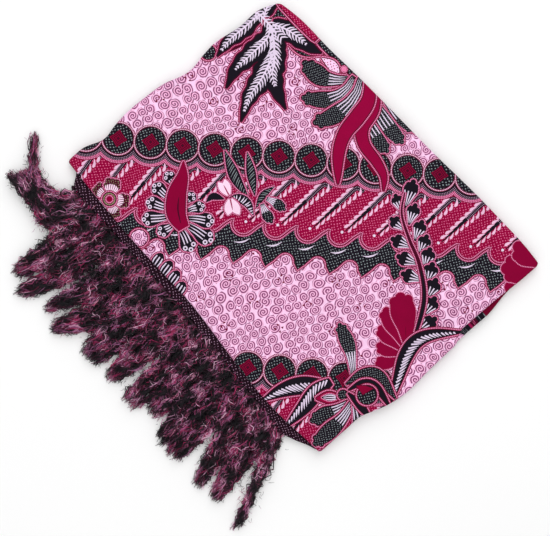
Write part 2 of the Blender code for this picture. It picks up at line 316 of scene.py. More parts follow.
def along(line, points, closed):
    """For each point: distance along a line, offset from it, and its side; and the line's length."""
    starts = line if closed else line[:-1]
    run = np.roll(line, -1, axis=0)[: len(starts)] - starts
    length = np.linalg.norm(run, axis=1)
    before = np.append(0, np.cumsum(length))
    distance, side, offset = *np.zeros((2, len(points))), np.zeros((len(points), 2))
    for first in range(0, len(points), 2048):
        away = points[first : first + 2048, None] - starts
        t = np.clip((away * run).sum(axis=2) / np.maximum(length**2, 1e-9), 0, 1)
        off = away - t[..., None] * run
        nearest = (off**2).sum(axis=2).argmin(axis=1)
        row = np.arange(len(nearest))
        offset[first : first + 2048] = off[row, nearest]
        turn = run[nearest, ::-1] * off[row, nearest]
        side[first : first + 2048] = np.sign(turn[:, 1] - turn[:, 0])
        distance[first : first + 2048] = before[nearest] + t[row, nearest] * length[nearest]
    return distance, offset, side, before[-1]


# ---------------------------------------------------------------- the print


def ink(red, green, blue):
    """A linear colour from 0 to 255 sRGB values."""
    value = np.array((red, green, blue)) / 255
    return np.where(value <= 0.04045, value / 12.92, ((value + 0.055) / 1.055) ** 2.4)


GROUND = ink(252, 206, 240)
SPIRAL = ink(124, 54, 102)
CRIMSON = ink(136, 0, 51)
CHERRY = ink(147, 1, 58)
FINGER_RED = ink(144, 2, 56)
WINE = ink(112, 2, 40)
MAROON = ink(72, 6, 34)
BLACK = ink(24, 19, 29)
WHITE = ink(228, 210, 234)
GREY = ink(140, 148, 152)
DUSK = ink(186, 146, 174)
HEM_BLACK = ink(34, 14, 26)
PINK = ink(240, 130, 176)
ROSE = ink(154, 24, 78)
RUBY = ink(134, 2, 48)
PALE_PINK = ink(229, 140, 182)
BLUSH = ink(236, 188, 218)
PALE = ink(250, 214, 238)
OLIVE = ink(158, 156, 120)
HOT = ink(226, 100, 148)

# Kinds of fill: (spirals, radius of dots, radius of beads as a share of their pitch, pitch of dots)
PLAIN = (0, 0, 0, 1)
SPIRALS = (1, 0, 0, 1)
BEADS = (0, 0, 0.37, 1)
SMALL_BEADS = (0, 0, 0.25, 1)
DOT = (0, 0.56, 0, 2.8)
RED_DOT = (0, 0.57, 0, 2.7)
FINE_DOT = (0, 0.41, 0, 2.15)
HEM_DOT = (0, 0.41, 0, 2.9)

SPIRAL_GROUND = (GROUND, SPIRAL, SPIRALS)
DOTTED = (BLACK, GREY, DOT)
FINE_DOTTED = (BLACK, GREY, FINE_DOT)
RED_DOTTED = (FINGER_RED, HOT, RED_DOT)
ROSE_BEADS = (ROSE, PALE_PINK, BEADS)
BEAD_PITCH = 1.7
BARB_PITCH = 4.0
RIPPLE_LENGTH = 15.0

# Half widths along a motif. Columns: share of the length, share of the half width
SPINDLE = ((0, 0.08), (0.25, 0.72), (0.5, 1), (0.78, 0.6), (1, 0.04))
BLADE = ((0, 0.6), (0.24, 1), (0.52, 0.96), (0.76, 0.62), (0.9, 0.3), (1, 0.04))
PETAL = ((0, 0.5), (0.45, 1), (0.8, 0.7), (1, 0.06))
LOBE = ((0, 0.45), (0.3, 0.85), (0.65, 1), (0.88, 0.72), (1, 0.25))
LEAF = ((0, 0.5), (0.3, 1), (0.7, 0.66), (0.9, 0.25), (1, 0.04))
SWAY = ((0, 0.5), (0.35, 1), (0.6, 0.84), (0.82, 0.62), (0.94, 0.3), (1, 0.05))
PAW = ((0, 0.4), (0.2, 0.5), (0.42, 0.74), (0.62, 1), (0.82, 0.9), (0.94, 0.64), (1, 0.44))
WIDE = ((0, 0.8), (0.3, 0.96), (0.62, 1), (0.86, 0.84), (1, 0.55))
FAN = ((0, 0.12), (0.4, 0.6), (0.78, 1), (0.94, 0.72), (1, 0.35))
STROKE = ((0, 0.5), (0.3, 1), (0.8, 0.8), (1, 0.2))
COMMA = ((0, 0.45), (0.18, 1), (0.55, 0.7), (1, 0.1))
NEEDLE = ((0, 0.9), (0.45, 1), (1, 0.12))
EVEN = ((0, 1), (1, 1))

# Borders of a motif. Columns: how far it reaches out, ink, and with marks their ink and kind
FULL_BORDER = ((3.0, WINE), (2.3, *ROSE_BEADS), (0.9, WINE), (0.4, BLACK))
THIN_BORDER = ((2.0, WINE), (1.4, *ROSE_BEADS), (0.1, MAROON))
FINE_BORDER = ((1.0, *ROSE_BEADS),)

PITCH = np.array((21.9, -23.8))  # from one motif of a row to the next
ROWS = ((-184, -115), (0, 0), (203, 116))  # where each row starts, from the first to the last drawn
STEPS = range(-10, 10)
FINGER = np.array((-2, -11))
MEDALLION = np.array((47, 40))
CUSP = np.array((-60, -8))
CRESCENT = np.array((-36, 0))
TRIANGLES = np.array((-90, -30))
TRIANGLE_STEPS = np.array(((37, -1), (2, -36)))
UPHILL = unit(np.array((23.8, 21.9)))  # from the row's fingers to its medallions
ROW_GROUND = 190  # how far the spirals run uphill from a row's medallions
RING_REACH = 22  # how much of that its rings take
TRIANGLE_RADIUS = 1.65


# One loop of the print; its line is what its beads follow, closed or open
Shape = namedtuple("Shape", "loop ink second kind line closed")


class Print:
    """Closed loops, each with its ink; a later loop lies over the earlier ones."""

    def __init__(self):
        self.shapes = []
        self.fill(np.array(((-999, -999), (999, -999), (999, 999), (-999, 999))), *SPIRAL_GROUND)

    def fill(self, loop, colour, second=None, kind=PLAIN, line=None, closed=True):
        loop = np.asarray(loop, float)
        second = colour if second is None else second
        self.shapes.append(Shape(loop, colour, second, kind, loop if line is None else line, closed))

    def motif(self, loop, colour, second=None, kind=PLAIN, border=FULL_BORDER):
        """A loop inside its border lines."""
        self.clump((loop,), colour, second, kind, border)

    def leaf(self, points, profile, half_width, colour, second=None, kind=PLAIN, border=FULL_BORDER):
        """A ribbon along a curve, inside its border lines."""
        self.motif(ribbon(curve(points), profile, half_width), colour, second, kind, border)

    def clump(self, loops, colour, second=None, kind=PLAIN, border=FULL_BORDER):
        """Loops that meet, as one shape inside its border lines."""
        reaches = [row[0] for row in border] + [0]
        for (reach, *inks), inner in zip(border, reaches[1:]):
            for loop in loops:
                self.fill(grown(loop, reach), *inks, line=grown(loop, (reach + inner) / 2))
        for loop in loops:
            self.fill(loop, colour, second, kind)

    def stroke(self, points, half_width, colour, profile=STROKE):
        self.fill(ribbon(curve(points, 2.4), profile, half_width), colour)

    def needle(self, points, half_width, colour):
        """A thin stroke with a pointed end, straight between its places."""
        self.fill(ribbon(np.array(points, float), NEEDLE, half_width), colour)

    def beaded(self, points, half_width, colour, second):
        """An open line of small beads."""
        line = curve(points, 4.0)
        self.fill(ribbon(line, EVEN, half_width), colour, second, SMALL_BEADS, line, False)

    def comb(self, spine, profile, half_width, count, first, last, colour, width):
        """Lines that run along a motif, side by side, between two shares of its length."""
        line = curve(spine)
        share = shares(line)
        at = np.linspace(first, last, 4)
        middle = np.stack([np.interp(at, share, line[:, i]) for i in (0, 1)], axis=1)
        half = half_width * through(profile, at)
        for place in np.linspace(-0.76, 0.76, count):
            self.needle((middle + left_of(middle) * (place * half)[:, None])[::-1], width, colour)

    def barbs(self, spine, profile, half_width, lean):
        """White needles that leave both sides of a spine and lean towards its tip."""
        line, share, length, normal, run = run_of(spine)
        for number, at in enumerate(np.arange(0.04, 0.95, BARB_PITCH / length)):
            i = int(np.searchsorted(share, at))
            reach = half_width * float(through(profile, np.array(at)))
            for side in (-1, 1):
                out = reach * (0.86 + 0.1 * ((number + side) % 2))
                tip = line[i] + normal[i] * side * out + run[i] * out * lean
                bend = line[i] + normal[i] * side * out * 0.56 + run[i] * out * lean * 0.4
                self.needle((line[i], bend, tip), 0.8, WHITE)

    def hatched(self, spine, profile, half_width, pitch, colour, lean, width, shift=0.0):
        """Strokes across a motif, all leaning one way."""
        line, share, length, normal, run = run_of(spine)
        for at in np.arange(0.06, 0.94, pitch / length):
            i = int(np.searchsorted(share, at))
            half = half_width * float(through(profile, np.array(at)))
            across = (normal[i] + run[i] * lean) * half
            middle = line[i] + normal[i] * half * shift
            self.needle((middle - across, middle + 0.25 * run[i], middle + across), width, colour)

    def feathered(self, spine, half_width, profile, lean, shift):
        """A black leaf with a row of slanting white strokes on one side of it."""
        self.leaf(spine, profile, half_width, BLACK)
        self.hatched(spine, profile, half_width * 0.5, 3.8, WHITE, lean, 0.85, shift)

    def comet(self, spine, half_width, combs=4, border=THIN_BORDER, profile=PAW, share=0.45):
        """A dotted petal with a scalloped end and a neck that is striped up to a share of it."""
        line = curve(spine)
        loops = (ribbon(line, profile, half_width), *bumps(line, half_width, 0.34))
        self.clump(loops, *FINE_DOTTED, border)
        self.comb(spine, profile, half_width, combs, 0.03, share, WHITE, 0.58)

    def at(self, points):
        """Number of the uppermost loop over each point."""
        order = np.argsort(points[:, 0])
        placed = points[order]
        found = np.zeros(len(points), int)
        for number, (loop, *_) in enumerate(self.shapes[1:], 1):
            (low_x, low_y), (high_x, high_y) = loop.min(axis=0), loop.max(axis=0)
            first, last = np.searchsorted(placed[:, 0], (low_x, high_x))
            some = placed[first:last]
            near = first + np.nonzero((some[:, 1] > low_y) & (some[:, 1] < high_y))[0]
            if len(near):
                found[near[winding(loop, placed[near]) > 0]] = number
        result = np.zeros(len(points), int)
        result[order] = found
        return result


def row_loop(path, shift):
    """The area between a wavy line of the row and the line through its medallions."""
    line = [shift + MEDALLION + k * PITCH for k in (STEPS[-1] + 1, STEPS[0] - 1)]
    return np.vstack((path, line))


def draw_row(cloth, shift):
    """One slanting band: a dark wave, fingers with feathers, scallops and medallions."""
    at = [shift + k * PITCH for k in STEPS]
    wave = [
        np.vstack((c + (3, -1.5), c + (12, -2.2), arc(c + (21, -11.5), 9.5, 90, -50, 9)))
        for c in (place + CUSP for place in at)
    ]
    cloth.motif(row_loop(np.vstack(wave), shift), *DOTTED)
    for place in at:
        crescent = ((-7, 5.4), (-3.6, 1.4), (1.2, -1.4), (7.4, -2.8))
        cloth.stroke(place + CRESCENT + np.array(crescent), 0.85, WHITE, SPINDLE)
    fingers = [
        np.vstack((arc(c, 10.5, 112, 268, 12), c + (9, -11), c + (16.4, -12.4)))
        for c in (place + FINGER for place in at)
    ]
    border = ((4.6, MAROON), (4.1, *ROSE_BEADS), (2.7, WINE), (1.6, *ROSE_BEADS), (0.4, WINE))
    loop = row_loop(np.vstack(fingers), shift)
    cloth.motif(grown(loop, -1.2), *RED_DOTTED, border)
    for place in at:
        draw_feather(cloth, place + FINGER)
    rings = (
        (25.4, WINE), (24.9, *ROSE_BEADS), (23.4, *ROSE_BEADS),
        (21.9, BLACK, DUSK, SMALL_BEADS), (20.4, BLACK, DUSK, SMALL_BEADS), (18.9, BLACK),
    )
    inner = [row[0] for row in rings[1:]] + [rings[-1][0] - 1]
    for (radius, *inks), inside in zip(rings, inner):
        for middle in np.add(at, MEDALLION):
            cloth.fill(disc(middle, radius), *inks, line=disc(middle, (radius + inside) / 2))
    ends = np.array([shift + MEDALLION + k * PITCH for k in (STEPS[0] - 1, STEPS[-1] + 1)])
    cloth.fill(np.vstack((ends, (ends + ROW_GROUND * UPHILL)[::-1])), *SPIRAL_GROUND)
    draw_triangles(cloth, lambda place: RING_REACH < (place - ends[0]) @ UPHILL < ROW_GROUND)
    for place in at:
        draw_medallion(cloth, place + MEDALLION)


def draw_triangles(cloth, wanted):
    """Small groups of triangles between the spirals."""
    group = ((-3, 2.2, 20), (1.6, 3.4, 75), (3.4, -1.6, 130), (-1.2, -3.2, 40))
    for i in range(-4, 8):
        for j in range(-8, 6):
            middle = TRIANGLES + i * TRIANGLE_STEPS[0] + j * TRIANGLE_STEPS[1]
            if wanted(middle):
                for x, y, turn in group[: 3 + (i + j) % 2]:
                    cloth.fill(arc(middle + (x, y), TRIANGLE_RADIUS, turn, turn + 240, 3), WINE)


def draw_feather(cloth, tip):
    """A stem along a finger, wider towards its root, with commas on both sides."""
    tilt = 0.03 + 0.12 * (max(0, -20 - tip[0]) / 110) ** 1.5

    def put(points):
        x, y = np.array(points, float).T
        return tip + np.stack((x, y - 0.7 + tilt * (x - 30)), axis=1)

    stem = ((6, 0), (40, 0), (62, 0.4), (66, -2.4), (68.5, -8))
    cloth.fill(ribbon(curve(put(stem), 3.4), ((0, 0.16), (0.5, 0.72), (0.8, 1), (1, 0.9)), 2.6), BLACK)
    for side in (-1.0, 1.0):
        beads = np.array(stem[1:]) + ((0, side), (0, side), (side, side), (side, 0))
        cloth.beaded(put(beads), 0.55, BLACK, DUSK)
    cloth.fill(disc(put(((3, 1.6),))[0], 1.5), WHITE)
    for number in range(9):
        grow = number / 8
        x = 8.5 + 6.7 * number
        upper = ((x - 1, 3.3 + 0.9 * grow), (x + 3, 2.7 + 0.9 * grow), (x + 7.2, 0.8 + 1.6 * grow))
        lower = ((x - 1, -2.8 - 4.6 * grow), (x + 3, -2.1 - 4.1 * grow), (x + 6, -0.8 - 1.8 * grow))
        if number < 8:
            cloth.fill(ribbon(curve(put(upper), 2.4), COMMA, 1.5), BLUSH)
        cloth.fill(ribbon(curve(put(lower), 2.4), COMMA, 1.2 + 0.35 * grow), BLUSH)


def draw_medallion(cloth, centre):
    """A dotted disc with nested squares in it."""
    cloth.fill(disc(centre, 17.5), WINE)
    cloth.fill(disc(centre, 17.0), ROSE, BLUSH, BEADS, disc(centre, 16.35))
    cloth.fill(disc(centre, 15.7), MAROON)
    cloth.fill(disc(centre, 14.8), *DOTTED)
    squares = (
        (7.0, BLACK), (6.5, RUBY), (5.5, MAROON), (4.5, RUBY), (3.6, MAROON), (2.5, RUBY), (1.6, MAROON),
    )
    for half, colour in squares:
        corners = arc(centre, half * 1.38, 39, 354, 8)
        corners[1::2] = centre + (corners[1::2] - centre) * 0.64
        cloth.fill(corners, colour)


def draw_palm(cloth):
    """A black leaf of several lobes with white needles, at the back, and small leaves by it."""
    cloth.motif(disc((40, 189), 7), *DOTTED)
    cloth.leaf(((54, 176), (68, 174), (88, 172)), SPINDLE, 2.6, MAROON, border=FINE_BORDER)
    cloth.leaf(((107, 144), (113, 128), (124, 113)), SPINDLE, 4.6, *FINE_DOTTED)
    # Columns: the lobe's line from the joint to its tip, half width, share of it with needles
    lobes = (
        (((104, 184), (84, 184), (64, 184), (44, 180)), 9.0, 0.95),
        (((105, 170), (94, 161), (70, 159), (50, 158), (30, 150)), 10.0, 0.8),
        (((107, 168), (114, 155), (118, 140), (120, 126), (125, 114)), 10.0, 0.7),
        (((104, 168), (92, 148), (66, 135), (42, 128), (19, 115)), 12.0, 0.95),
        (((100, 160), (88, 143), (74, 130), (66, 113), (61, 95)), 11.0, 0.75),
        (((106, 180), (116, 185), (124, 184), (130, 178)), 8.0, 0.9),
    )
    loops = [ribbon(curve(spine), LEAF, half_width, 0.1) for spine, half_width, _ in lobes]
    border = ((2.8, WINE), (2.3, ROSE, PALE_PINK, SMALL_BEADS), (1.0, MAROON))
    cloth.clump(loops, BLACK, border=border)
    for spine, half_width, share in lobes:
        line = curve(spine)
        part = line[: max(3, round(share * len(line)))]
        cloth.barbs(part, LEAF, half_width * 0.66, 1.15)
        cloth.stroke(part[:-1], 0.8, WHITE, NEEDLE)
    cloth.stroke(((101, 191), (104, 180), (104, 160)), 1.0, WHITE, EVEN)
    cloth.barbs(((102, 190), (104, 176), (105, 150)), EVEN, 6.0, 1.0)


def draw_right_flower(cloth):
    """Dotted petals, long crimson petals and a comb of lobes, from a heart at the fold."""
    cloth.leaf(((142, 56), (136, 84), (133, 124)), EVEN, 4.5, *DOTTED)
    cloth.leaf(((132, 128), (130, 150), (129, 180)), EVEN, 5, *RED_DOTTED)
    cloth.leaf(((122, 84), (125, 97), (122, 110)), SPINDLE, 4.8, GROUND, ROSE, RED_DOT)
    cloth.motif(disc((131.5, 87), 2.6), PINK, border=THIN_BORDER)
    comets = (
        (((127, 77), (118, 84), (110, 94), (107, 106), (106, 116)), 9.0, 0.4),
        (((134, 74), (118, 70), (102, 73), (91, 82), (83, 91)), 7.6, 0.58),
        (((139, 69), (126, 61), (108, 57), (91, 59), (76, 65)), 8.2, 0.6),
    )
    for spine, half_width, share in comets:
        cloth.comet(spine, half_width, border=FULL_BORDER, share=share)
    for top_x, x, bottom in ((146, 144, -4), (130, 127, -5), (114, 110, -2)):
        cloth.comet(((top_x, 36), (x, 14), (x, bottom)), 7.6, profile=WIDE, share=0.54)
    sways = (
        (((148, 56), (128, 38), (107, 31), (97, 17), (95, -4), (91, -20), (81, -31)), 6.0),
        (((147, 66), (130, 48), (110, 42), (90, 38), (72, 27), (51, 4)), 7.2),
    )
    for spine, half_width in sways:
        cloth.leaf(spine, SWAY, half_width, CHERRY)


def draw_spindle_flower(cloth):
    """A crimson spindle in a wheel of black lobes with white threads and ring beads."""
    # Columns: where the lobe leaves the spindle, where it ends, its half width
    wheel = (
        (-84, 100, -88, 122, 7.0), (-90, 94, -103, 114, 7.2), (-94, 88, -117, 104, 7.4),
        (-97, 81, -114, 84, 6.6), (-96, 76, -102, 53, 8.2), (-90, 75, -82, 47, 8.4),
        (-86, 79, -69, 60, 7.4), (-82, 84, -66, 77, 6.0), (-77, 90, -66, 91, 5.6),
        (-72, 106, -71, 123, 6.2),
    )
    for root_x, root_y, end_x, end_y, half_width in wheel:
        root, end = np.array((root_x, root_y)), np.array((end_x, end_y))
        run = unit((end - root).astype(float))
        side = np.array((-run[1], run[0]))
        lobe = ribbon(curve((root, (root + end) / 2, end + 3 * run)), FAN, half_width)
        cloth.motif(lobe, BLACK, border=THIN_BORDER)
        spread = half_width / 7.2
        for place in (-1, 0, 1):
            stop = end - 5.4 * run + side * place * 3.0 * spread
            start = root + 4 * run + side * place * 2.3 * spread
            cloth.stroke((stop, (start + stop) / 2 + side * 0.5, start), 0.6, WHITE, NEEDLE)
        for place in (-1, 0, 1):
            ring = end + spread * (side * place * 4.0 + run * (1.6 - abs(place) * 3.2))
            cloth.fill(disc(ring, 2.2 * spread), WHITE)
            cloth.fill(disc(ring, 0.95 * spread), BLACK)
    spine = ((-94, 72), (-90, 88), (-77, 102), (-61, 112), (-50, 123))
    cloth.leaf(spine, BLADE, 9.6, MAROON, border=THIN_BORDER)
    cloth.fill(ribbon(curve(spine), BLADE, 9.0), CRIMSON)
    cloth.stroke(((-93, 78), (-86, 90), (-77, 99)), 0.7, MAROON)


def draw_small_flowers(cloth):
    """Pale petals, hatched leaves and bells beside the spindle flower."""
    leaves = (
        (((-25, 54), (-22, 76), (-12, 104)), 5.4),
        (((-19, 50), (-9, 66), (4, 88)), 4.6),
        (((-26, 40), (-12, 45), (2, 44)), 3.4),
    )
    for spine, half_width in leaves:
        cloth.leaf(spine, SPINDLE, half_width, BLACK, border=THIN_BORDER)
        cloth.hatched(spine, SPINDLE, half_width * 0.7, 3.0, GREY, -0.8, 0.34)
    cloth.leaf(((-60, 77), (-51, 77), (-44, 67)), SPINDLE, 3.6, BLACK, border=FINE_BORDER)
    crescent = ((-41, 65), (-33, 60), (-29.5, 49), (-33, 36))
    cloth.leaf(crescent, SPINDLE, 4.6, BLACK, border=THIN_BORDER)
    cloth.hatched(crescent, SPINDLE, 3.4, 3.0, WHITE, 0.1, 0.6)
    # Columns: foot of the petal, its two points, half width
    for foot, left, right, half_width in (
        ((-38, 68), (-38, 84), (-31, 82), 4.0), ((-40, 63), (-52, 53), (-43, 46), 4.7),
    ):
        spines = [curve((foot, np.add(foot, end) / 2, end), 2.4) for end in (left, right)]
        sides = [ribbon(spine, PETAL, half_width) for spine in spines]
        cloth.clump(sides, PALE, border=THIN_BORDER)
        middle = np.add(left, right) / 2
        cloth.needle((foot, np.add(foot, middle) / 2, middle * 0.7 + np.array(foot) * 0.3), 0.8, ROSE)
    for x, y, lean in ((-22, 24, -3), (-8, 25, 4)):
        spine = ((x - lean, y + 15), (x, y + 6), (x + lean * 0.5, y - 4))
        cloth.comet(spine, 5.4)


def draw_plume(cloth):
    """A fern-like plume: a dark stem with scalloped leaflets that hold white combs."""
    stem = ((96, -46), (80, -60), (69, -84), (60, -110), (40, -140), (2, -166))
    # Columns: x and y on the stem, x and y of the leaflet's end, half width
    leaflets = (
        (81, -58, 87, -43, 6.0), (72, -75, 69, -58, 6.4), (66, -92, 57, -74, 7.0),
        (60, -109, 50, -91, 7.2), (52, -124, 42, -107, 7.2), (86, -58, 109, -44, 7.2),
        (78, -73, 95, -63, 6.6), (72, -89, 89, -80, 6.8), (67, -102, 83, -94, 6.8),
        (61, -116, 77, -106, 7.2), (54, -129, 69, -119, 7.6), (43, -141, 61, -133, 7.8),
        (30, -151, 48, -146, 7.8), (14, -159, 35, -161, 7.4),
    )
    border = ((2.0, MAROON), (1.5, *ROSE_BEADS))
    for x, y, end_x, end_y, half_width in leaflets:
        root, end = np.array((x, y), float), np.array((end_x, end_y), float)
        spine = (root, (root + end) / 2, end)
        line = curve(spine, 2.4)
        cloth.clump((ribbon(line, FAN, half_width), *bumps(line, half_width, 0.38)), BLACK, border=border)
        cloth.comb(spine, FAN, half_width * 1.05, 4, 0.1, 0.66, WHITE, 0.62)
    stem_line = curve(stem)
    widths = ((0, 0.25), (0.4, 0.75), (0.8, 1), (1, 0.6))
    cloth.motif(ribbon(stem_line, widths, 2.1), MAROON, border=THIN_BORDER)
    cloth.fill(ribbon(stem_line[len(stem_line) // 2 :], STROKE, 1.3), BLACK)


def draw_fan(cloth, base, tips, half_width):
    """Crimson petals with scalloped ends that spread from one place. tips: x, y, relative width."""
    for x, y, width in tips:
        middle = (np.array(base) + (x, y)) / 2 + (0, -2)
        line = curve((base, middle, (x, y)))
        petal = (ribbon(line, FAN, half_width * width), *bumps(line, half_width * width, 0.44, -0.16))
        cloth.clump(petal, CRIMSON, border=FINE_BORDER)
        cloth.stroke((np.array(base) * 0.7 + np.array((x, y)) * 0.3, middle), 0.4, WINE)


def draw_front_left(cloth):
    """Feathered leaves, dotted petals and round lobes at the front corner of the fringe side."""
    cloth.feathered(((-90, -138), (-108, -124), (-126, -115), (-150, -109)), 8.0, LEAF, -1.2, 0.5)
    cloth.feathered(((-84, -140), (-100, -138), (-122, -142), (-150, -145)), 7.4, LEAF, 1.2, -0.5)
    cloth.leaf(((-86, -160), (-94, -152), (-106, -143)), SPINDLE, 6, FINGER_RED)
    core = ((-101, -146), (-94, -152), (-88, -158))
    cloth.leaf(core, SPINDLE, 3.6, BLACK, border=FINE_BORDER)
    cloth.comb(core, SPINDLE, 3.2, 3, 0.1, 0.8, WHITE, 0.6)
    cloth.motif(disc((-83, -158), 4.6), *FINE_DOTTED)
    cloth.comet(((-84, -168), (-100, -165), (-122, -158)), 8.0, border=FULL_BORDER)
    cloth.comet(((-80, -170), (-102, -176), (-135, -177)), 7.6, border=FULL_BORDER)
    cloth.comet(((-80, -172), (-86, -184), (-96, -204)), 7.0, 3)
    cloth.comet(((-62, -150), (-48, -128), (-40, -104)), 7)
    petals = (
        (((-74, -152), (-54, -156), (-44, -168), (-46, -196)), 6.0, GREY, FINE_DOT),
        (((-76, -158), (-60, -162), (-53, -174), (-56, -200)), 3.4, BLACK, PLAIN),
        (((-78, -160), (-77, -174), (-78, -196)), 3.4, ROSE, PLAIN),
    )
    for spine, half_width, second, kind in petals:
        cloth.leaf(spine, SPINDLE, half_width, BLACK, second, kind)
    cloth.motif(disc((-65, -174), 9.4), *DOTTED)
    wedge = np.array(((-68, -171), (-56, -173), (-61, -165), (-67, -160)), float)
    cloth.motif(wedge, RUBY, border=((0.9, MAROON),))


def draw_rosette(cloth, centre, radius):
    """A small flower with fringed petals and a dark crimson heart of bead rings."""
    # Columns: direction of the petal in degrees, share of the radius, half width
    petals = ((178, 0.86, 6.5), (-112, 1.05, 6.2), (-48, 1.02, 7.2), (96, 1.0, 7.0), (38, 1.05, 8.4))
    for turn, reach, half_width in petals:
        places = [arc(centre, radius * reach * share, turn, turn, 1)[0] for share in (0.1, 0.55, 0.98)]
        line = curve(places, 2.4)
        side = left_of(line)[-1] * half_width
        ends = [disc(line[-1] + side * out, 0.4 * half_width) for out in (-0.5, 0, 0.5)]
        cloth.clump((ribbon(line, FAN, half_width), *ends), MAROON, OLIVE, FINE_DOT, THIN_BORDER)
        cloth.fill(ribbon(line[:-1], FAN, half_width * 0.82), PALE)
        cloth.comb(places, FAN, half_width * 0.9, 6, 0.45, 0.95, MAROON, 0.4)
    cloth.motif(disc(centre, radius * 0.42), MAROON, border=THIN_BORDER)
    cloth.fill(disc(centre, radius * 0.38), MAROON, OLIVE, BEADS, disc(centre, radius * 0.33))
    cloth.fill(disc(centre, radius * 0.27), *ROSE_BEADS, disc(centre, radius * 0.22))
    cloth.fill(disc(centre, radius * 0.17), CRIMSON)


def draw_edge_combs(cloth):
    """Striped lobes that run in from the fringe side."""
    for y, reach in ((64, 12), (52, 14), (40, 13), (28, 10)):
        spine = ((-146, y - 2), (-139, y), (-139 + reach, y + 3))
        cloth.motif(ribbon(curve(spine, 2), LOBE, 5.4), BLACK, border=THIN_BORDER)
        cloth.comb(spine, LOBE, 4.8, 3, 0.1, 0.8, WHITE, 0.66)


def sarong_print():
    cloth = Print()
    draw_triangles(cloth, lambda _: True)
    for shift in ROWS:
        draw_row(cloth, np.array(shift, float))
    cloth.motif(disc((-134, 94), 8), *SPIRAL_GROUND)
    draw_edge_combs(cloth)
    draw_rosette(cloth, (-131, 143), 17)
    draw_palm(cloth)
    draw_right_flower(cloth)
    draw_spindle_flower(cloth)
    draw_small_flowers(cloth)
    fan = ((-37, -157, 0.7), (-24, -144, 0.8), (-11, -132, 0.85), (5, -122, 0.95), (25, -121, 1.25))
    draw_fan(cloth, (-7, -170), fan, 10)
    draw_plume(cloth)
    under_arch = ((-46, -204), (-40, -188), (-20, -176), (8, -168), (34, -176), (48, -192), (48, -204))
    cloth.fill(np.array(under_arch[::-1], float), *SPIRAL_GROUND)
    arch = ((48, -189), (25, -172), (8, -166), (-10, -170), (-32, -183), (-56, -198))
    cloth.feathered(arch, 6.8, SPINDLE, -1.3, 0.6)
    draw_front_left(cloth)
    draw_fan(cloth, (160, -202), ((112, -186, 1), (122, -169, 1), (146, -160, 1)), 14)
    return cloth


# ---------------------------------------------------------------- meshes


def add_mesh(name, points, faces, material, smooth=True):
    """A mesh object from points in millimetres."""
    mesh = bpy.data.meshes.new(name)
    mesh.from_pydata((np.asarray(points) * MM).tolist(), [], [tuple(f) for f in faces])
    mesh.polygons.foreach_set("use_smooth", np.full(len(mesh.polygons), smooth))
    mesh.update()
    mesh.materials.append(material)
    made = bpy.data.objects.new(name, mesh)
    bpy.context.scene.collection.objects.link(made)
    return made


def walls(number):
    """Faces between neighbouring closed rows of point numbers."""
    after = np.roll(number, -1, axis=-1)
    corners = (number[..., :-1, :], after[..., :-1, :], after[..., 1:, :], number[..., 1:, :])
    return np.stack(corners, axis=-1).reshape(-1, 4)


def corner_values(piece, name, kind, values):
    """Stores a value for each corner of each face."""
    layer = piece.data.attributes.new(name, kind, "CORNER")
    key = "color" if kind == "FLOAT_COLOR" else "vector"
    if kind == "FLOAT_COLOR":
        values = np.concatenate((values, np.ones((len(values), 1))), axis=1)
    layer.data.foreach_set(key, np.ascontiguousarray(values, dtype=np.float32).ravel())


def dye(piece, cloth, shapes, places):
    """Gives each face of a piece the ink of a shape. places: cloth position of each corner."""
    sides = np.array([len(p.vertices) for p in piece.data.polygons])
    of_corner = np.repeat(shapes, sides)
    face_of = np.repeat(np.arange(len(shapes)), sides)
    starts = np.append(0, np.cumsum(sides))
    bead = np.zeros((len(places), 3))
    for number in np.unique(shapes):
        *_, kind, line, closed = cloth.shapes[number]
        if kind[2]:
            corners = np.nonzero(of_corner == number)[0]
            s, offset, side, length = along(line, places[corners], closed)
            first = s[np.searchsorted(corners, starts[face_of[corners]])]
            if closed:
                s = s + length * np.round((first - s) / length)
            beads = max(1, round(length / BEAD_PITCH))
            bead[corners, 0] = s * beads / length
            bead[corners, 1] = side * np.linalg.norm(offset, axis=1) / BEAD_PITCH
    _, inks, seconds, kinds, *_ = zip(*cloth.shapes)
    kinds = np.array(kinds, float)[of_corner]
    corner_values(piece, "ink", "FLOAT_COLOR", np.array(inks)[of_corner])
    corner_values(piece, "second", "FLOAT_COLOR", np.array(seconds)[of_corner])
    corner_values(piece, "kind", "FLOAT_VECTOR", kinds[:, :3])
    corner_values(piece, "bead", "FLOAT_VECTOR", bead)
    corner_values(piece, "cloth", "FLOAT_VECTOR", np.column_stack((places, kinds[:, 3])))


def outline(inset, step=3.0):
    """The stack's edge seen from above, counter-clockwise, moved in, with rounded corners."""
    sides = []
    for rows, flipped, back in (
        (FRONT_EDGE, False, False), (FOLD_EDGE, True, False), (BACK_EDGE, False, True),
        (FRINGE_EDGE, True, True),
    ):
        count = int((rows[-1][0] - rows[0][0]) / step)
        places = np.linspace(rows[0][0], rows[-1][0], count)
        out = through(rows, places)
        side = np.stack((out, places) if flipped else (places, out), axis=1)
        side = side[::-1] if back else side
        normal = left_of(side)
        side = (side + inset * normal)[1:-1]
        sides.append(side)
    return np.vstack(sides)


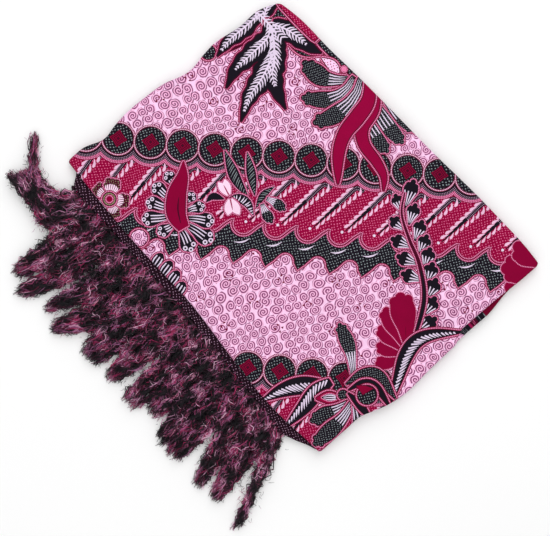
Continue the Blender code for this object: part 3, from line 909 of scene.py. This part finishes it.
def triangles(cloth, domain, rings, step):
    """Cuts a plane domain into triangles, along the print's lines where two inks meet."""
    low, high = domain.min(axis=0), domain.max(axis=0)
    loops = [
        loop for loop, *_ in cloth.shapes[1:]
        if (loop.max(axis=0) > low).all() and (loop.min(axis=0) < high).all()
    ]
    points, edges = joined(loops + [domain] + rings)
    flat, lines = cut(points, edges)[:2]
    middle = flat[lines].mean(axis=1)
    across = unit(flat[lines[:, 1]] - flat[lines[:, 0]])[:, ::-1] * (0.01, -0.01)
    differs = cloth.at(middle + across) != cloth.at(middle - across)
    inside = winding(domain, middle) > 0
    lines = lines[differs & inside]
    kept, lines = np.unique(lines, return_inverse=True)
    flat, lines = flat[kept], lines.reshape(-1, 2)
    ring_points, ring_edges = joined([domain] + rings)
    points = np.vstack((flat, ring_points))
    edges = np.vstack((lines, ring_edges + len(flat)))
    taken = {tuple(cell) for cell in np.floor(points / (0.7 * step)).astype(int)}
    x, y = np.meshgrid(np.arange(low[0], high[0], step), np.arange(low[1], high[1], step))
    x[1::2] += step / 2
    grid = np.stack((x.ravel(), y.ravel()), axis=1)
    cells = np.floor(grid / (0.7 * step)).astype(int)
    free = np.array([tuple(cell) not in taken for cell in cells])
    grid = grid[free]
    grid = grid[winding(domain, grid) > 0]
    points, edges, faces = cut(np.vstack((points, grid)), edges)
    inside = winding(domain, points[faces].mean(axis=1)) > 0
    faces = faces[inside]
    used, faces = np.unique(faces, return_inverse=True)
    return points[used], faces.reshape(-1, 3)


def joined(loops):
    """Points and edges of several closed loops."""
    points, edges, first = [], [], 0
    for loop in loops:
        number = np.arange(len(loop))
        edges.append(np.stack((number, np.roll(number, -1)), axis=1) + first)
        points.append(loop)
        first += len(loop)
    return np.vstack(points), np.vstack(edges)


def cut(points, edges):
    """Delaunay triangles of the plane that keep the given edges."""
    made = delaunay_2d_cdt([Vector(p) for p in points.tolist()], edges.tolist(), [], 0, 1e-3, False)
    return np.array([tuple(v) for v in made[0]]), np.array(made[1]), np.array(made[2])


def printed_sheet(name, cloth, material, inset, turn, height, down, place, step):
    """A sheet over the stack that turns round its edge. place: from the stack to the print."""
    radius, sweep = turn
    ring = outline(inset)
    reach = radius * sweep
    domain = grown(ring, reach)
    rings = [grown(ring, reach * share) for share in (0, 0.25, 0.5, 0.75)]
    flat_print = cloth if place is None else moved(cloth, place)
    flat, faces = triangles(flat_print, domain, rings, step)
    outside = winding(ring, flat) <= 0
    beyond = np.zeros_like(flat)
    beyond[outside] = along(ring, flat[outside], True)[1]
    angle = np.linalg.norm(beyond, axis=1) / radius
    foot = flat - beyond
    over = foot + unit(beyond) * (radius * np.sin(angle))[:, None]
    level = height(*foot.T) - down * radius * (1 - np.cos(angle))
    points = np.column_stack((over, level))
    if down < 0:
        faces = faces[:, ::-1]
    piece = add_mesh(name, points, faces, material)
    middle = flat[faces].mean(axis=1)
    dye(piece, flat_print, flat_print.at(middle), flat[faces].reshape(-1, 2))
    return piece


def moved(cloth, place):
    """A print with each loop put through a function of points that keeps its turn."""
    other = Print()
    for loop, *inks, line, closed in cloth.shapes[1:]:
        other.fill(place(loop), *inks, place(line), closed)
    return other


def solidify(piece):
    """Gives a sheet its thickness, on its inner side."""
    wall = piece.modifiers.new("Cloth", "SOLIDIFY")
    wall.thickness = CLOTH * MM
    wall.offset = -1
    wall.use_rim = True


# ---------------------------------------------------------------- materials


class Value:
    """A node's output; arithmetic with it makes more nodes."""

    def __init__(self, shader, socket):
        self.shader, self.socket = shader, socket

    def __add__(self, other):
        return self.shader.math("ADD", self, other)

    def __sub__(self, other):
        return self.shader.math("SUBTRACT", self, other)

    def __mul__(self, other):
        return self.shader.math("MULTIPLY", self, other)

    def __truediv__(self, other):
        return self.shader.math("DIVIDE", self, other)


class Shader:
    """A material whose nodes are made from numbers and from other nodes' outputs."""

    def __init__(self, name):
        self.material = bpy.data.materials.new(name)
        self.material.use_nodes = True
        self.tree = self.material.node_tree
        self.surface = self.tree.nodes["Principled BSDF"]

    def plug(self, socket, value):
        if isinstance(value, Value):
            self.tree.links.new(value.socket, socket)
        else:
            socket.default_value = value

    def values(self, kind, sockets, outputs, **settings):
        """Some outputs of a new node."""
        node = self.tree.nodes.new("ShaderNode" + kind)
        for key, value in settings.items():
            setattr(node, key, value)
        for key, value in sockets.items():
            self.plug(node.inputs[key], value)
        return [Value(self, node.outputs[key]) for key in outputs]

    def value(self, kind, sockets, output=0, **settings):
        return self.values(kind, sockets, (output,), **settings)[0]

    def attribute(self, name, output="Vector"):
        return self.value("Attribute", {}, output, attribute_name=name)

    def math(self, operation, *values):
        return self.value("Math", dict(enumerate(values)), operation=operation)

    def vector(self, operation, *values):
        return self.value("VectorMath", dict(enumerate(values)), operation=operation)

    def combine(self, *values):
        return self.value("CombineXYZ", dict(enumerate(values)))

    def parts(self, vector):
        return self.values("SeparateXYZ", {0: vector}, range(3))

    def mix(self, share, first, second, blend="MIX"):
        return self.value("MixRGB", dict(enumerate((share, first, second))), blend_type=blend)

    def shaded(self, colour, shade):
        """A colour times a number."""
        return self.mix(1.0, colour, self.combine(shade, shade, shade), "MULTIPLY")

    def noise(self, place, scale, detail=2.0, output="Fac"):
        return self.value("TexNoise", {"Vector": place, "Scale": scale, "Detail": detail}, output)

    def spread(self, value, low, high):
        """A value from 0 to 1, laid out between two others."""
        return self.value("MapRange", {"Value": value, "To Min": low, "To Max": high})

    def below(self, value, limit, soft):
        """1 under a limit and 0 over it, with a soft edge."""
        return self.value("MapRange", {"Value": value, "From Min": limit + soft, "From Max": limit - soft})

    def above(self, value, limit):
        return self.math("GREATER_THAN", value, limit)

    def finish(self, colour, rough, specular, relief, strength, depth):
        """Sets the surface from a colour, a roughness, a specular level and a relief."""
        sockets = {"Height": relief, "Strength": strength, "Distance": depth}
        self.plug(self.surface.inputs["Base Color"], colour)
        self.plug(self.surface.inputs["Roughness"], rough)
        self.surface.inputs["Specular IOR Level"].default_value = specular
        self.plug(self.surface.inputs["Normal"], self.value("Bump", sockets))
        return self.material


SPIRAL_CELL = 10.2
SPIRAL_ARM = 2.3
SPIRAL_LINE = 0.56
SPIRAL_RADIUS = 5.8
LEFT_HANDED = 0.16  # share of the spirals that turn the other way
THREAD = 0.5


def wandering(s, drawn, place, scale, detail, reach):
    """Moves what is drawn a little to and fro, as a hand does."""
    push = s.vector("SUBTRACT", s.noise(place, scale, detail, "Color"), (0.5, 0.5, 0.5))
    return s.vector("MULTIPLY_ADD", push, (reach, reach, 0), drawn)


def spirals(s, drawn, flag):
    """The lines of small spirals in the cells of a staggered lattice, and the tint beside them."""
    across, up, _ = s.parts(drawn)
    staggered = s.combine(across, s.math("MULTIPLY_ADD", across, 0.5, up))
    lattice = {"Vector": staggered, "Scale": 1 / SPIRAL_CELL, "Randomness": 0.34}
    middle, chances = s.values("TexVoronoi", lattice, ("Position", "Color"), voronoi_dimensions="2D")
    edge = s.value("TexVoronoi", lattice, voronoi_dimensions="2D", feature="DISTANCE_TO_EDGE")
    x, y, _ = s.parts(s.vector("SUBTRACT", staggered, middle))
    y = s.math("MULTIPLY_ADD", x, -0.5, y)
    chance_hand, chance_turn, _ = s.parts(chances)
    radius = s.math("SQRT", x * x + y * y)
    turn = s.math("ARCTAN2", y, x) / (2 * math.pi)
    hand = s.above(chance_hand, LEFT_HANDED) * 2.0 - 1.0
    arm = s.math("FRACT", radius / SPIRAL_ARM - turn * hand + chance_turn)
    off_arm = s.math("ABSOLUTE", arm - 0.5) * SPIRAL_ARM
    inside = s.below(radius, SPIRAL_RADIUS, 0.2) * flag * s.above(edge, 0.02)
    return s.below(off_arm, SPIRAL_LINE, 0.2) * inside, s.below(off_arm, 2 * SPIRAL_LINE, 0.5) * inside


def dots(s, drawn, pitch, radius):
    """Dots on a slanting, slightly uneven lattice."""
    slanted = s.value("VectorRotate", {"Vector": drawn, "Angle": 0.5})
    spaced = s.vector("DIVIDE", slanted, s.combine(pitch, pitch, 1.0))
    lattice = {"Vector": spaced, "Scale": 1.0, "Randomness": 0.3}
    off_dot = s.value("TexVoronoi", lattice, "Distance", voronoi_dimensions="2D")
    return s.below(off_dot * pitch, radius, 0.12) * s.above(radius, 0.05)


def beads(s, radius):
    """Beads along the middle line of a border."""
    ahead, aside, _ = s.parts(s.attribute("bead"))
    ahead = s.math("FRACT", ahead) - 0.5
    off_bead = s.math("SQRT", ahead * ahead + aside * aside)
    return s.below(off_bead, radius, 0.07) * s.above(radius, 0.05)


def batik():
    """Printed cotton: the inks of the faces, with spirals, dots and beads between them."""
    s = Shader("batik_cloth")
    stored = s.attribute("cloth")  # place on the print, and the pitch of its dots
    place = s.vector("MULTIPLY", stored, (1, 1, 0))
    drawn = wandering(s, place, place, 0.35, 1.0, 0.9)
    drawn = wandering(s, drawn, place, 0.02, 0.0, 11)
    spiral_flag, dot_radius, bead_radius = s.parts(s.attribute("kind"))
    spiral, halo = spirals(s, drawn, spiral_flag)
    dot = dots(s, drawn, s.parts(stored)[2], dot_radius)
    mark = s.math("MAXIMUM", s.math("MAXIMUM", spiral, dot), beads(s, bead_radius))
    ground = s.mix(halo * 0.42, s.attribute("ink", "Color"), (*PINK, 1))
    colour = s.mix(mark, ground, s.attribute("second", "Color"))

    uneven = s.spread(s.noise(place, 0.045, 3.0), 0.84, 1.12)
    u, v, _ = s.parts(place)
    weave = s.math("SINE", u * (math.pi / THREAD)) * s.math("SINE", v * (math.pi / THREAD))
    slub = s.noise(s.vector("MULTIPLY", place, (0.25, 2.6, 1)), 1.0)
    shade = s.math("MULTIPLY_ADD", weave, 0.05, uneven)
    shade = s.math("MULTIPLY_ADD", slub - 0.5, 0.16, shade)
    relief = s.math("MULTIPLY_ADD", weave, 0.5, slub * 1.2)
    return s.finish(s.shaded(colour, shade), s.spread(slub, 0.66, 0.86), 0.05, relief, 0.5, 0.00012)


def yarn():
    """Loosely spun yarn; its colour comes from the strands."""
    s = Shader("fringe_yarn")
    place = s.value("TexCoord", {}, "Object")
    fibre = s.noise(s.vector("MULTIPLY", place, (350, 1400, 1400)), 1.0, 3.0)
    colour = s.shaded(s.attribute("dye", "Color"), s.spread(fibre, 0.55, 1.5))
    return s.finish(colour, s.spread(fibre, 0.34, 0.62), 0.27, fibre, 0.4, 0.0002)


def paper():
    """The pale floor."""
    s = Shader("paper_floor")
    tone = s.spread(s.noise(s.value("TexCoord", {}, "Object"), 3.0), 0.95, 0.98)
    s.plug(s.surface.inputs["Base Color"], s.combine(tone, tone, tone))
    s.plug(s.surface.inputs["Roughness"], 0.9)
    return s.material


# ---------------------------------------------------------------- the sides of the stack


# The print of the leaf that shows under the front edge. Columns: from x, ink, second ink, kind
FRONT_INKS = (
    (47, *FINE_DOTTED), (58, ROSE, PALE_PINK, PLAIN), (59.5, MAROON, HOT, FINE_DOT),
    (67, *FINE_DOTTED), (76, ROSE, PALE_PINK, PLAIN), (77.5, WINE),
)


def fold_reach(edge, normal, fold):
    """How far a fold sticks out of the stack's side at each point of the edge."""
    wander = 0.5 * np.sin(edge[:, 0] / (17 + 3 * fold) + 1.7 * fold) * np.cos(edge[:, 1] / 23 + fold)
    reach = wander - 0.5
    if fold >= FOLDS - 2:
        from_start = (edge[:, 0] - FRONT_LEAF_FROM) / FRONT_LEAF_FADES[0]
        from_end = (FRONT_LEAF_TO - edge[:, 0]) / FRONT_LEAF_FADES[1]
        front = (normal[:, 1] < -0.7) * ease(np.minimum(from_start, from_end))
        reach = reach + front * (FRONT_LEAF_REACH if fold == FOLDS - 1 else FRONT_LEAF_REACH - 1.2)
    return reach


def side_folds(cloth, front_inks, material):
    """The folds of the lower layers, one above the other, as one band round the stack."""
    ring = outline(0.0, 2.4)
    run = unit(np.roll(ring, -1, axis=0) - np.roll(ring, 1, axis=0))
    normal = np.stack((run[:, 1], -run[:, 0]), axis=1)
    top = top_height(*(ring - TURN_RADIUS * normal).T) - TURN_DROP
    fold_height = (top - 2 * FOLD_FLOOR) / FOLDS
    rows, depths = [], []
    for fold in range(FOLDS):
        reach = fold_reach(ring, normal, fold)
        floor = FOLD_FLOOR + fold_height * fold
        for turn in FOLD_TURN:
            angle = math.radians(turn)
            out = reach - fold_height / 2 * (1 - math.cos(angle))
            if abs(turn) == 90:
                out = np.full_like(out, -FOLD_DEPTH)
            level = floor + fold_height / 2 * (1 + FOLD_ROUNDNESS * math.sin(angle))
            depths.append(fold * FOLD_SHIFT + len(rows) * FOLD_STEP)
            rows.append(np.column_stack((ring + out[:, None] * normal, level)))
    rows = np.array(rows)
    count, around = rows.shape[:2]
    quads = walls(np.arange(count * around).reshape(count, around))
    piece = add_mesh("cloth_folds", rows.reshape(-1, 3), quads, material)
    where = np.array([ring - normal * (6 + depth) for depth in depths])
    places = where.reshape(-1, 2)[quads]
    shapes = cloth.at(places.mean(axis=1))
    x, y, _ = rows.reshape(-1, 3)[quads].mean(axis=1).T
    lowest = len(FOLD_TURN) * (FOLDS - 2)
    leaf = (quads[:, 0] // around >= lowest) & (y < 0) & (x > FRONT_INKS[0][0])
    span = np.searchsorted([row[0] for row in FRONT_INKS], x[leaf]) - 1
    shapes[leaf & (x < FRONT_LEAF_TO)] = front_inks[span[x[leaf] < FRONT_LEAF_TO]]
    dye(piece, cloth, shapes, places.reshape(-1, 2))
    return piece


def hem(name, cloth, shape, leaf, material):
    """One hem leaf on the fringe side, doubled over, with its line of stitches."""
    y = np.arange(-182, 192, 2.2)
    inside = through(FRINGE_EDGE, y)
    reach = through(HEM_REACH, y) + 0.35 * np.sin(y / 9 + 2 * leaf) - 0.6
    root = top_height(inside + TURN_RADIUS, y) - TURN_DROP
    level = (leaf + 0.5) * root / LEAVES + 0.2 * np.sin(y / 13 + leaf)
    rows = []
    for share, up in HEM_PROFILE:
        x = inside + HEM_TUCK - share * (reach + HEM_TUCK)
        rows.append(np.column_stack((x, y, level + HEM_HALF * up)))
    rows = np.array(rows)
    count, length = rows.shape[:2]
    number = np.arange(count * length).reshape(count, length)
    faces = walls(number.T)[:, ::-1].tolist() + [number[:, 0].tolist(), number[::-1, -1].tolist()]
    piece = add_mesh(name, rows.reshape(-1, 3), faces, material)
    corners = np.concatenate([np.array(face) for face in faces])
    places = rows.reshape(-1, 3)[corners][:, :2]
    dye(piece, cloth, np.full(len(faces), shape), places)
    return piece


# ---------------------------------------------------------------- the fringe

LOCK_PITCH = 11.0
LOCK_POINTS = 16
LOCK_ROOT = 1.9  # from the hem's edge to where a lock starts

# Columns: first and last root along the hem, place and width of the waist, place and width of
# the tips, x of the tips
TUFTS = (
    (-149, -140, -172, 4, -190, 6, -258),
    (-139, -117, -142, 20, -152, 12, -256),
    (-117, -95, -119, 22, -131, 9, -259),
    (-95, -73, -88, 24, -93, 16, -260),
    (-73, -51, -68, 22, -74, 16, -260),
    (-51, -31, -45, 22, -48, 14, -248),
    (-31, -8, -24, 26, -25, 18, -259),
    (-8, 18, 7, 24, 7, 12, -256),
    (18, 50, 36, 30, 38, 22, -260),
    (50, 79, 62, 30, 83, 9, -268),
    (79, 101, 90, 20, 103, 5, -258),
    (101, 125, 118, 20, 132, 13, -269),
    (125, 149, 142, 24, 149, 14, -258),
)
WAIST = 0.62  # share of the way to the tips

# Locks that turn back. Columns: root along the hem, then x and y of three places up to the tip
TURNED_LOCKS = (
    (146, -194, 162, -192, 190, -190, 232),
    (153, -187, 168, -187, 196, -184, 226),
    (160, -180, 176, -181, 200, -177, 223),
    (167, -170, 184, -172, 210, -144, 245),
)

# Columns: name, share of the reach, place of a root in its share of the hem, CAD node
TIERS = (
    ("tassels_lower", 1.0, 0.5, "fringe_lower"),
    ("tassels_middle", 0.97, 0.16, "fringe_middle"),
    ("tassels_upper", 0.98, 0.84, "fringe_upper"),
)

# Columns: share of a lock's length, share of its full width
LOCK_WIDTH = ((0, 0.8), (0.16, 1.0), (0.6, 0.95), (0.9, 0.8), (1, 0.5))
LOCK_HALF_WIDTH = 4.5

# How high one tier is. Columns: x, height
TIER_HEIGHT = ((-265, 2.3), (-230, 3.2), (-195, 4.0), (-168, 3.8), (-158, 2.7), (-140, 2.5))

TWIST_LENGTH = 27.0
PLY_OUT = 0.85  # from the lock's middle to a ply's, in half widths of a ply
PLY_UP = 0.5  # the same upwards, in half heights of the lock
STRAND_UP = 0.62  # half height of a ply, in half heights of the lock
STRANDS = 24
HAIRS = 94
HAIR_POINTS = 5
CURLS = 26
CURL_POINTS = 9
CORD_PLY = 0.7  # radius of a ply of the cord along the hem
CORD_TURN = 2.1  # length along the cord in which a ply turns by a radian

# Columns: share of the length, share of the full thickness
STRAND_TAPER = ((0, 0.9), (0.1, 1), (0.85, 0.9), (1, 0.35))
CURL_TAPER = ((0, 0.3), (0.2, 1), (0.8, 1), (1, 0.2))

INK_YARN = ink(13, 9, 17)
WINE_YARN = ink(60, 22, 42)
CRIMSON_YARN = ink(172, 34, 92)
LILAC_YARN = ink(168, 100, 146)
# Pale pink: partly the yarn's own colour, partly painted highlight on the fringe's strands
PALE_YARN_AND_HIGHLIGHT = ink(248, 200, 226)

# Waves that add up to the patches of the dye. Columns: length, direction in degrees, phase, weight
PATCHES = (
    (41, 24, 0.3, 1.3), (29, 108, 2.1, 1.2), (21, 152, 4.0, 1.1), (16, 62, 1.2, 1.0),
    (12, 12, 5.1, 0.8), (9, 131, 3.3, 0.6),
)


def lock_lines(share, phase):
    """The middle lines of a tier's locks, in the plane."""
    t = np.linspace(0, 1, LOCK_POINTS)
    lines = []
    for first, last, waist, waist_width, tip, tip_width, tip_x in TUFTS:
        count = round((last - first) / LOCK_PITCH)
        for k in range(count):
            side = (k + phase) / count - 0.5
            root = (first + last) / 2 + side * (last - first)
            start = np.array((hem_edge(root) + LOCK_ROOT, root))
            end = np.array((tip_x + 5 * abs(side) + random.uniform(0, 5), tip + side * tip_width))
            end[0] = start[0] + (end[0] - start[0]) * share
            middle = start + (end - start) * WAIST
            middle[1] = waist + side * waist_width
            lines.append(through_places((start, middle, end), (0, WAIST, 1), t))
    for root, *places in TURNED_LOCKS:
        beside = 4.0 * (0.5 - phase)
        start = np.array((hem_edge(root), root))
        rest = np.reshape(places, (3, 2)) + (beside, 0)
        lines.append(through_places((start, *rest), (0, 0.28, 0.62, 1), t))
    wave = random.uniform(0.7, 2.0, len(lines)) * 2 * math.pi
    for line, often in zip(lines, wave):
        sway = 1.9 * np.sin(often * t + random.random() * 6) * np.sin(math.pi * np.minimum(1.5 * t, 1))
        line += left_of(line) * sway[:, None]
    return lines


def through_places(places, when, t):
    """A smooth line through places in the plane."""
    places = np.array(places, float)
    return np.stack([through(list(zip(when, column)), t) for column in places.T], axis=1)


def hem_edge(y):
    y = np.asarray(y, float)
    return through(FRINGE_EDGE, y) - through(HEM_REACH, y) - LOCK_ROOT


def tubes(lines, radii, colours):
    """Three-sided tubes. lines: (tubes, points, 3), radii: (tubes, points)."""
    run = unit(np.gradient(lines, axis=1))
    side = unit(np.cross(run, (0.12, 0.05, 1.0)))
    up = np.cross(side, run)
    rings = []
    for turn in np.radians((90, 210, 330)):
        rings.append(lines + radii[..., None] * (math.cos(turn) * side + math.sin(turn) * up))
    points = np.stack(rings, axis=2)
    many, count = points.shape[:2]
    number = np.arange(many * count * 3).reshape(many, count, 3)
    faces = walls(number).tolist() + number[:, 0, ::-1].tolist() + number[:, -1].tolist()
    return points.reshape(-1, 3), faces, np.repeat(colours.reshape(-1, 3), 3, axis=0)


class Lock:
    """One two-ply lock of the fringe, round a middle line in the plane."""

    def __init__(self, line, level, half_height):
        self.t = np.linspace(0, 1, LOCK_POINTS)
        self.line, self.half_height = line, half_height
        self.side = np.append(left_of(line), np.zeros((LOCK_POINTS, 1)), axis=1)
        self.middle = np.column_stack((line, level))
        self.width = LOCK_HALF_WIDTH * random.uniform(0.85, 1.15) * between(LOCK_WIDTH, self.t)
        turns = steps_of(line).sum() / (TWIST_LENGTH * random.uniform(0.8, 1.25))
        self.twist = 2 * math.pi * (turns * self.t + random.random())

    def strands(self):
        """Strands that wind round each other in two plies."""
        t = self.t
        ply = (np.arange(STRANDS) % 2)[:, None]
        rho = np.sqrt(random.random((STRANDS, 1)))
        phi = random.random((STRANDS, 1)) * 2 * math.pi - 1.6 * self.twist
        turned = self.twist + math.pi * ply
        across = self.width * (PLY_OUT * np.cos(turned) + rho * np.cos(phi))
        high = self.half_height * (PLY_UP * np.sin(turned) + STRAND_UP * rho * np.sin(phi))
        lines = self.middle + across[..., None] * self.side + high[..., None] * (0, 0, 1)
        for reach, slow, fast in ((1.3, 6, 16), (0.9, 18, 42)):
            waver = random.normal(size=(STRANDS, 1, 3)) * (reach, reach, 0.3 * reach)
            pace = random.uniform(slow, fast, (STRANDS, 1, 1))
            lines = lines + waver * np.sin(t[:, None] * pace + random.random((STRANDS, 1, 1)) * 6)
        lines = trimmed(lines, t, random.uniform(0.92, 1.0, STRANDS))
        radii = random.uniform(0.4, 0.85, (STRANDS, 1)) * between(STRAND_TAPER, t)
        return lines, radii, strand_colours(ply, lines, 0.0)

    def hairs(self):
        """Short arcs that leave the plies in all directions."""
        at = random.random(HAIRS) ** 0.85
        spot = (at * (LOCK_POINTS - 1)).astype(int)
        ply = random.integers(0, 2, HAIRS)
        phi = random.uniform(-0.3, math.pi + 0.3, HAIRS)
        turned = self.twist[spot] + math.pi * ply
        out = self.width[spot] * 0.8 * (np.cos(turned) + np.cos(phi))
        root = self.middle[spot] + out[:, None] * self.side[spot]
        root[:, :2] += random.uniform(-3.5, 3.5, (HAIRS, 2)) * (at < 0.93)[:, None]
        root[:, 2] += self.half_height[spot] * (PLY_UP * np.sin(turned) + STRAND_UP * np.sin(phi))
        loose = random.normal(size=HAIRS) * np.where(at > 0.8, 0.4, 1.25)
        bend = random.normal(size=HAIRS) * 0.22
        length = random.uniform(2.6, 6.5, HAIRS) * np.where(at > 0.8, 0.7, 1)
        h = np.linspace(0, 1, HAIR_POINTS)
        angle = (self.heading(spot) + loose)[:, None] + (bend * length)[:, None] * h
        steps = length[:, None] / (HAIR_POINTS - 1) * np.array((np.cos(angle), np.sin(angle), 0 * angle))
        steps[2] += random.normal(size=(HAIRS, 1)) * 0.12
        lines = root[:, None] + np.cumsum(steps, axis=2).transpose(1, 2, 0)
        radii = random.uniform(0.13, 0.27, (HAIRS, 1)) * (1, 0.95, 0.85, 0.65, 0.3)
        return lines, radii, strand_colours(ply[:, None], lines, 0.5)

    def curls(self):
        """Loose strands that wander across the lock."""
        c = np.linspace(0, 1, CURL_POINTS)
        spot = (random.uniform(0.04, 0.8, CURLS) * (LOCK_POINTS - 1)).astype(int)
        turn = random.choice((-1, 1), CURLS) * random.uniform(0.5, 1.3, CURLS)
        wave = random.uniform(4, 9, (CURLS, 1)) * c + random.uniform(0, 6, (CURLS, 1))
        angle = (self.heading(spot) + turn)[:, None] + 0.9 * np.sin(wave)
        stride = random.uniform(9, 16, (CURLS, 1)) / (CURL_POINTS - 1)
        places = np.cumsum(np.stack((stride * np.cos(angle), stride * np.sin(angle)), axis=-1), axis=1)
        places += self.line[spot][:, None] - places[:, CURL_POINTS // 2][:, None]
        arch = (0.75 + 0.3 * random.random((CURLS, 1))) * np.sin(math.pi * (0.15 + 0.7 * c))
        level = self.middle[spot, 2][:, None] + self.half_height[spot][:, None] * arch
        lines = np.concatenate((places, level[..., None]), axis=2)
        radii = random.uniform(0.26, 0.46, (CURLS, 1)) * between(CURL_TAPER, c)
        return lines, radii, strand_colours(random.integers(0, 2, (CURLS, 1)), lines, 0.6)

    def heading(self, spot):
        """Direction of the lock at some of its points."""
        ahead = np.gradient(self.line, axis=0)[spot]
        return np.arctan2(ahead[:, 1], ahead[:, 0])


def trimmed(lines, t, ends):
    """Lines cut off at a share of their length, with as many points as before."""
    where = ends[:, None] * t * (len(t) - 1)
    low = np.minimum(where.astype(int), len(t) - 2)
    part = (where - low)[..., None]
    row = np.arange(len(lines))[:, None]
    return lines[row, low] * (1 - part) + lines[row, low + 1] * part


def strand_colours(ply, lines, more_highlight):
    """Near black, and wine, crimson and lilac where the dye's patches and a strand's lot have it, and pale
    pink, partly the yarn's own colour and partly painted highlight, on some strands in the pinkest
    patches, more on hairs and curls.
    """
    x, y = lines[..., 0], lines[..., 1]
    patch = np.zeros_like(x)
    for length, direction, phase, weight in PATCHES:
        way = math.radians(direction)
        run = x * math.cos(way) + y * math.sin(way)
        patch += weight * np.sin(2 * math.pi * run / length + phase)
    lot, highlight_lot, tone = random.random((3, len(lines), 1))
    warmth = 0.52 * patch + 0.8 * ply + 3.3 * (lot - 0.5) - 0.4
    wine = ease((warmth + 0.7) / 1.1)[..., None]
    bright = ease((warmth - 0.35) / 1.0)[..., None]
    # Pale pink, partly the yarn's own colour and partly painted highlight, on strands with a high
    # highlight lot
    pink = (ease((warmth - 0.9) / 1.1) * ease((highlight_lot - 0.55 + 0.4 * more_highlight) / 0.4))[..., None]
    fresh = CRIMSON_YARN + (LILAC_YARN - CRIMSON_YARN) * ease(tone * 1.3 - 0.15)[..., None]
    colour = INK_YARN + (WINE_YARN - INK_YARN) * wine
    colour = colour + (fresh - colour) * bright
    return colour + (PALE_YARN_AND_HIGHLIGHT - colour) * pink


def tassels(tier, name, share, phase, material):
    """One tier of the fringe as one mesh of yarn, with a cord along the hem."""
    groups = []
    for line in lock_lines(share, phase):
        band = between(TIER_HEIGHT, line[:, 0])
        lock = Lock(line, 0.3 + band * (tier + 0.5), band * 0.56)
        groups += [lock.strands(), lock.hairs(), lock.curls()]
    points, faces, colours, first = [], [], [], 0
    for group in (*groups, *header(tier)):
        verts, sides, tint = tubes(*group)
        points.append(verts)
        faces += [[first + corner for corner in face] for face in sides]
        colours.append(tint)
        first += len(verts)
    points = np.vstack(points)
    points[:, 2] = np.maximum(points[:, 2], 0.05)
    piece = add_mesh(name, points, faces, material)
    layer = piece.data.attributes.new("dye", "FLOAT_COLOR", "POINT")
    rgba = np.column_stack((np.vstack(colours), np.ones(first)))
    layer.data.foreach_set("color", rgba.astype(np.float32).ravel())
    return piece


def header(tier):
    """The plaited cord that the locks of a tier start from."""
    y = np.linspace(-149, 178, 300)
    inside = through(FRINGE_EDGE, y) + TURN_RADIUS
    level = (tier + 0.5) * (top_height(inside, y) - TURN_DROP) / LEAVES
    for ply in range(3):
        turn = y / CORD_TURN + ply * 2 * math.pi / 3
        x = hem_edge(y) + CORD_PLY + 0.75 * np.cos(turn)
        line = np.column_stack((x, y, level + 0.5 * np.sin(turn)))[None]
        tint = INK_YARN + (WINE_YARN - INK_YARN) * ply * 0.5
        yield line, np.full((1, len(y)), CORD_PLY), np.broadcast_to(tint, (1, len(y), 3))


# ---------------------------------------------------------------- build

# A loop of a colouring that faces take by its number
OFF_THE_CLOTH = arc((999, 999), 1, 0, 240, 3)


def main():
    cloth_print = sarong_print()
    batik_cloth = batik()
    yarn_material = yarn()
    hem_ink = len(cloth_print.shapes)
    cloth_print.fill(OFF_THE_CLOTH, HEM_BLACK, DUSK, HEM_DOT)

    top = printed_sheet(
        "cloth_top", cloth_print, batik_cloth, TURN_RADIUS, (TURN_RADIUS, TURN_SWEEP),
        lambda x, y: top_height(x, y, CREASES + WRINKLES), 1, None, 4.05,
    )
    solidify(top)
    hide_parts("top_panel")

    under = printed_sheet(
        "cloth_underside", cloth_print, batik_cloth, 1.9, (0.9, math.radians(95)), under_height, -1,
        lambda p: (p * (-1, 1))[::-1], 5.0,
    )

    front_inks = np.arange(len(FRONT_INKS)) + len(cloth_print.shapes)
    for _, *dyes in FRONT_INKS:
        cloth_print.fill(OFF_THE_CLOTH, *dyes)
    folds = side_folds(cloth_print, front_inks, batik_cloth)
    hems = [
        hem(name, cloth_print, hem_ink, leaf, batik_cloth)
        for leaf, name in enumerate(("hem_lower", "hem_middle", "hem_upper"))
    ]
    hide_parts("hidden_layers")
    fringe = []
    for tier, (name, share, phase, node) in enumerate(TIERS):
        piece = tassels(tier, name, share, phase, yarn_material)
        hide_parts(node)
        fringe.append(piece)
    for piece in (top, under, folds, *hems, *fringe):
        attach(piece, "root")
    studio()


def studio():
    """Pale floor, soft light and a camera that looks straight down, turned as the print is."""
    corners = [(4000 * x, 4000 * y, -0.2) for x, y in ((-1, -1), (1, -1), (1, 1), (-1, 1))]
    floor = add_mesh("floor", corners, [(0, 1, 2, 3)], paper(), False)

    world = bpy.data.worlds.new("studio")
    bpy.context.scene.world = world
    world.use_nodes = True
    background = world.node_tree.nodes["Background"]
    background.inputs["Color"].default_value = (1, 1, 1, 1)
    background.inputs["Strength"].default_value = 0.5

    # Columns: name, x, y and z, size, watts
    for name, x, y, z, size, watts in (
        ("key", 0.85, 0.75, 1.3, 1.6, 14), ("fill", -1.1, -0.6, 1.3, 1.6, 6),
        ("top", 0.0, -0.1, 1.9, 1.4, 8),
    ):
        lamp = bpy.data.lights.new(name, "AREA")
        lamp.shape = "SQUARE"
        lamp.size = size
        lamp.energy = watts
        light = bpy.data.objects.new(name, lamp)
        light.location = (x, y, z)
        light.rotation_euler = Vector((x, y, z)).to_track_quat("Z", "Y").to_euler()
        bpy.context.scene.collection.objects.link(light)

    camera_data = bpy.data.cameras.new("camera")
    camera_data.sensor_width = 36
    camera_data.lens = 90.8
    camera = bpy.data.objects.new("camera", camera_data)
    camera.location = (-0.0512, -0.0178, 1.4)
    camera.rotation_euler = (0, 0, math.radians(-41))
    bpy.context.scene.collection.objects.link(camera)
    bpy.context.scene.camera = camera
    bpy.context.scene.view_settings.view_transform = "Standard"


main()

bpy.context.view_layer.update()
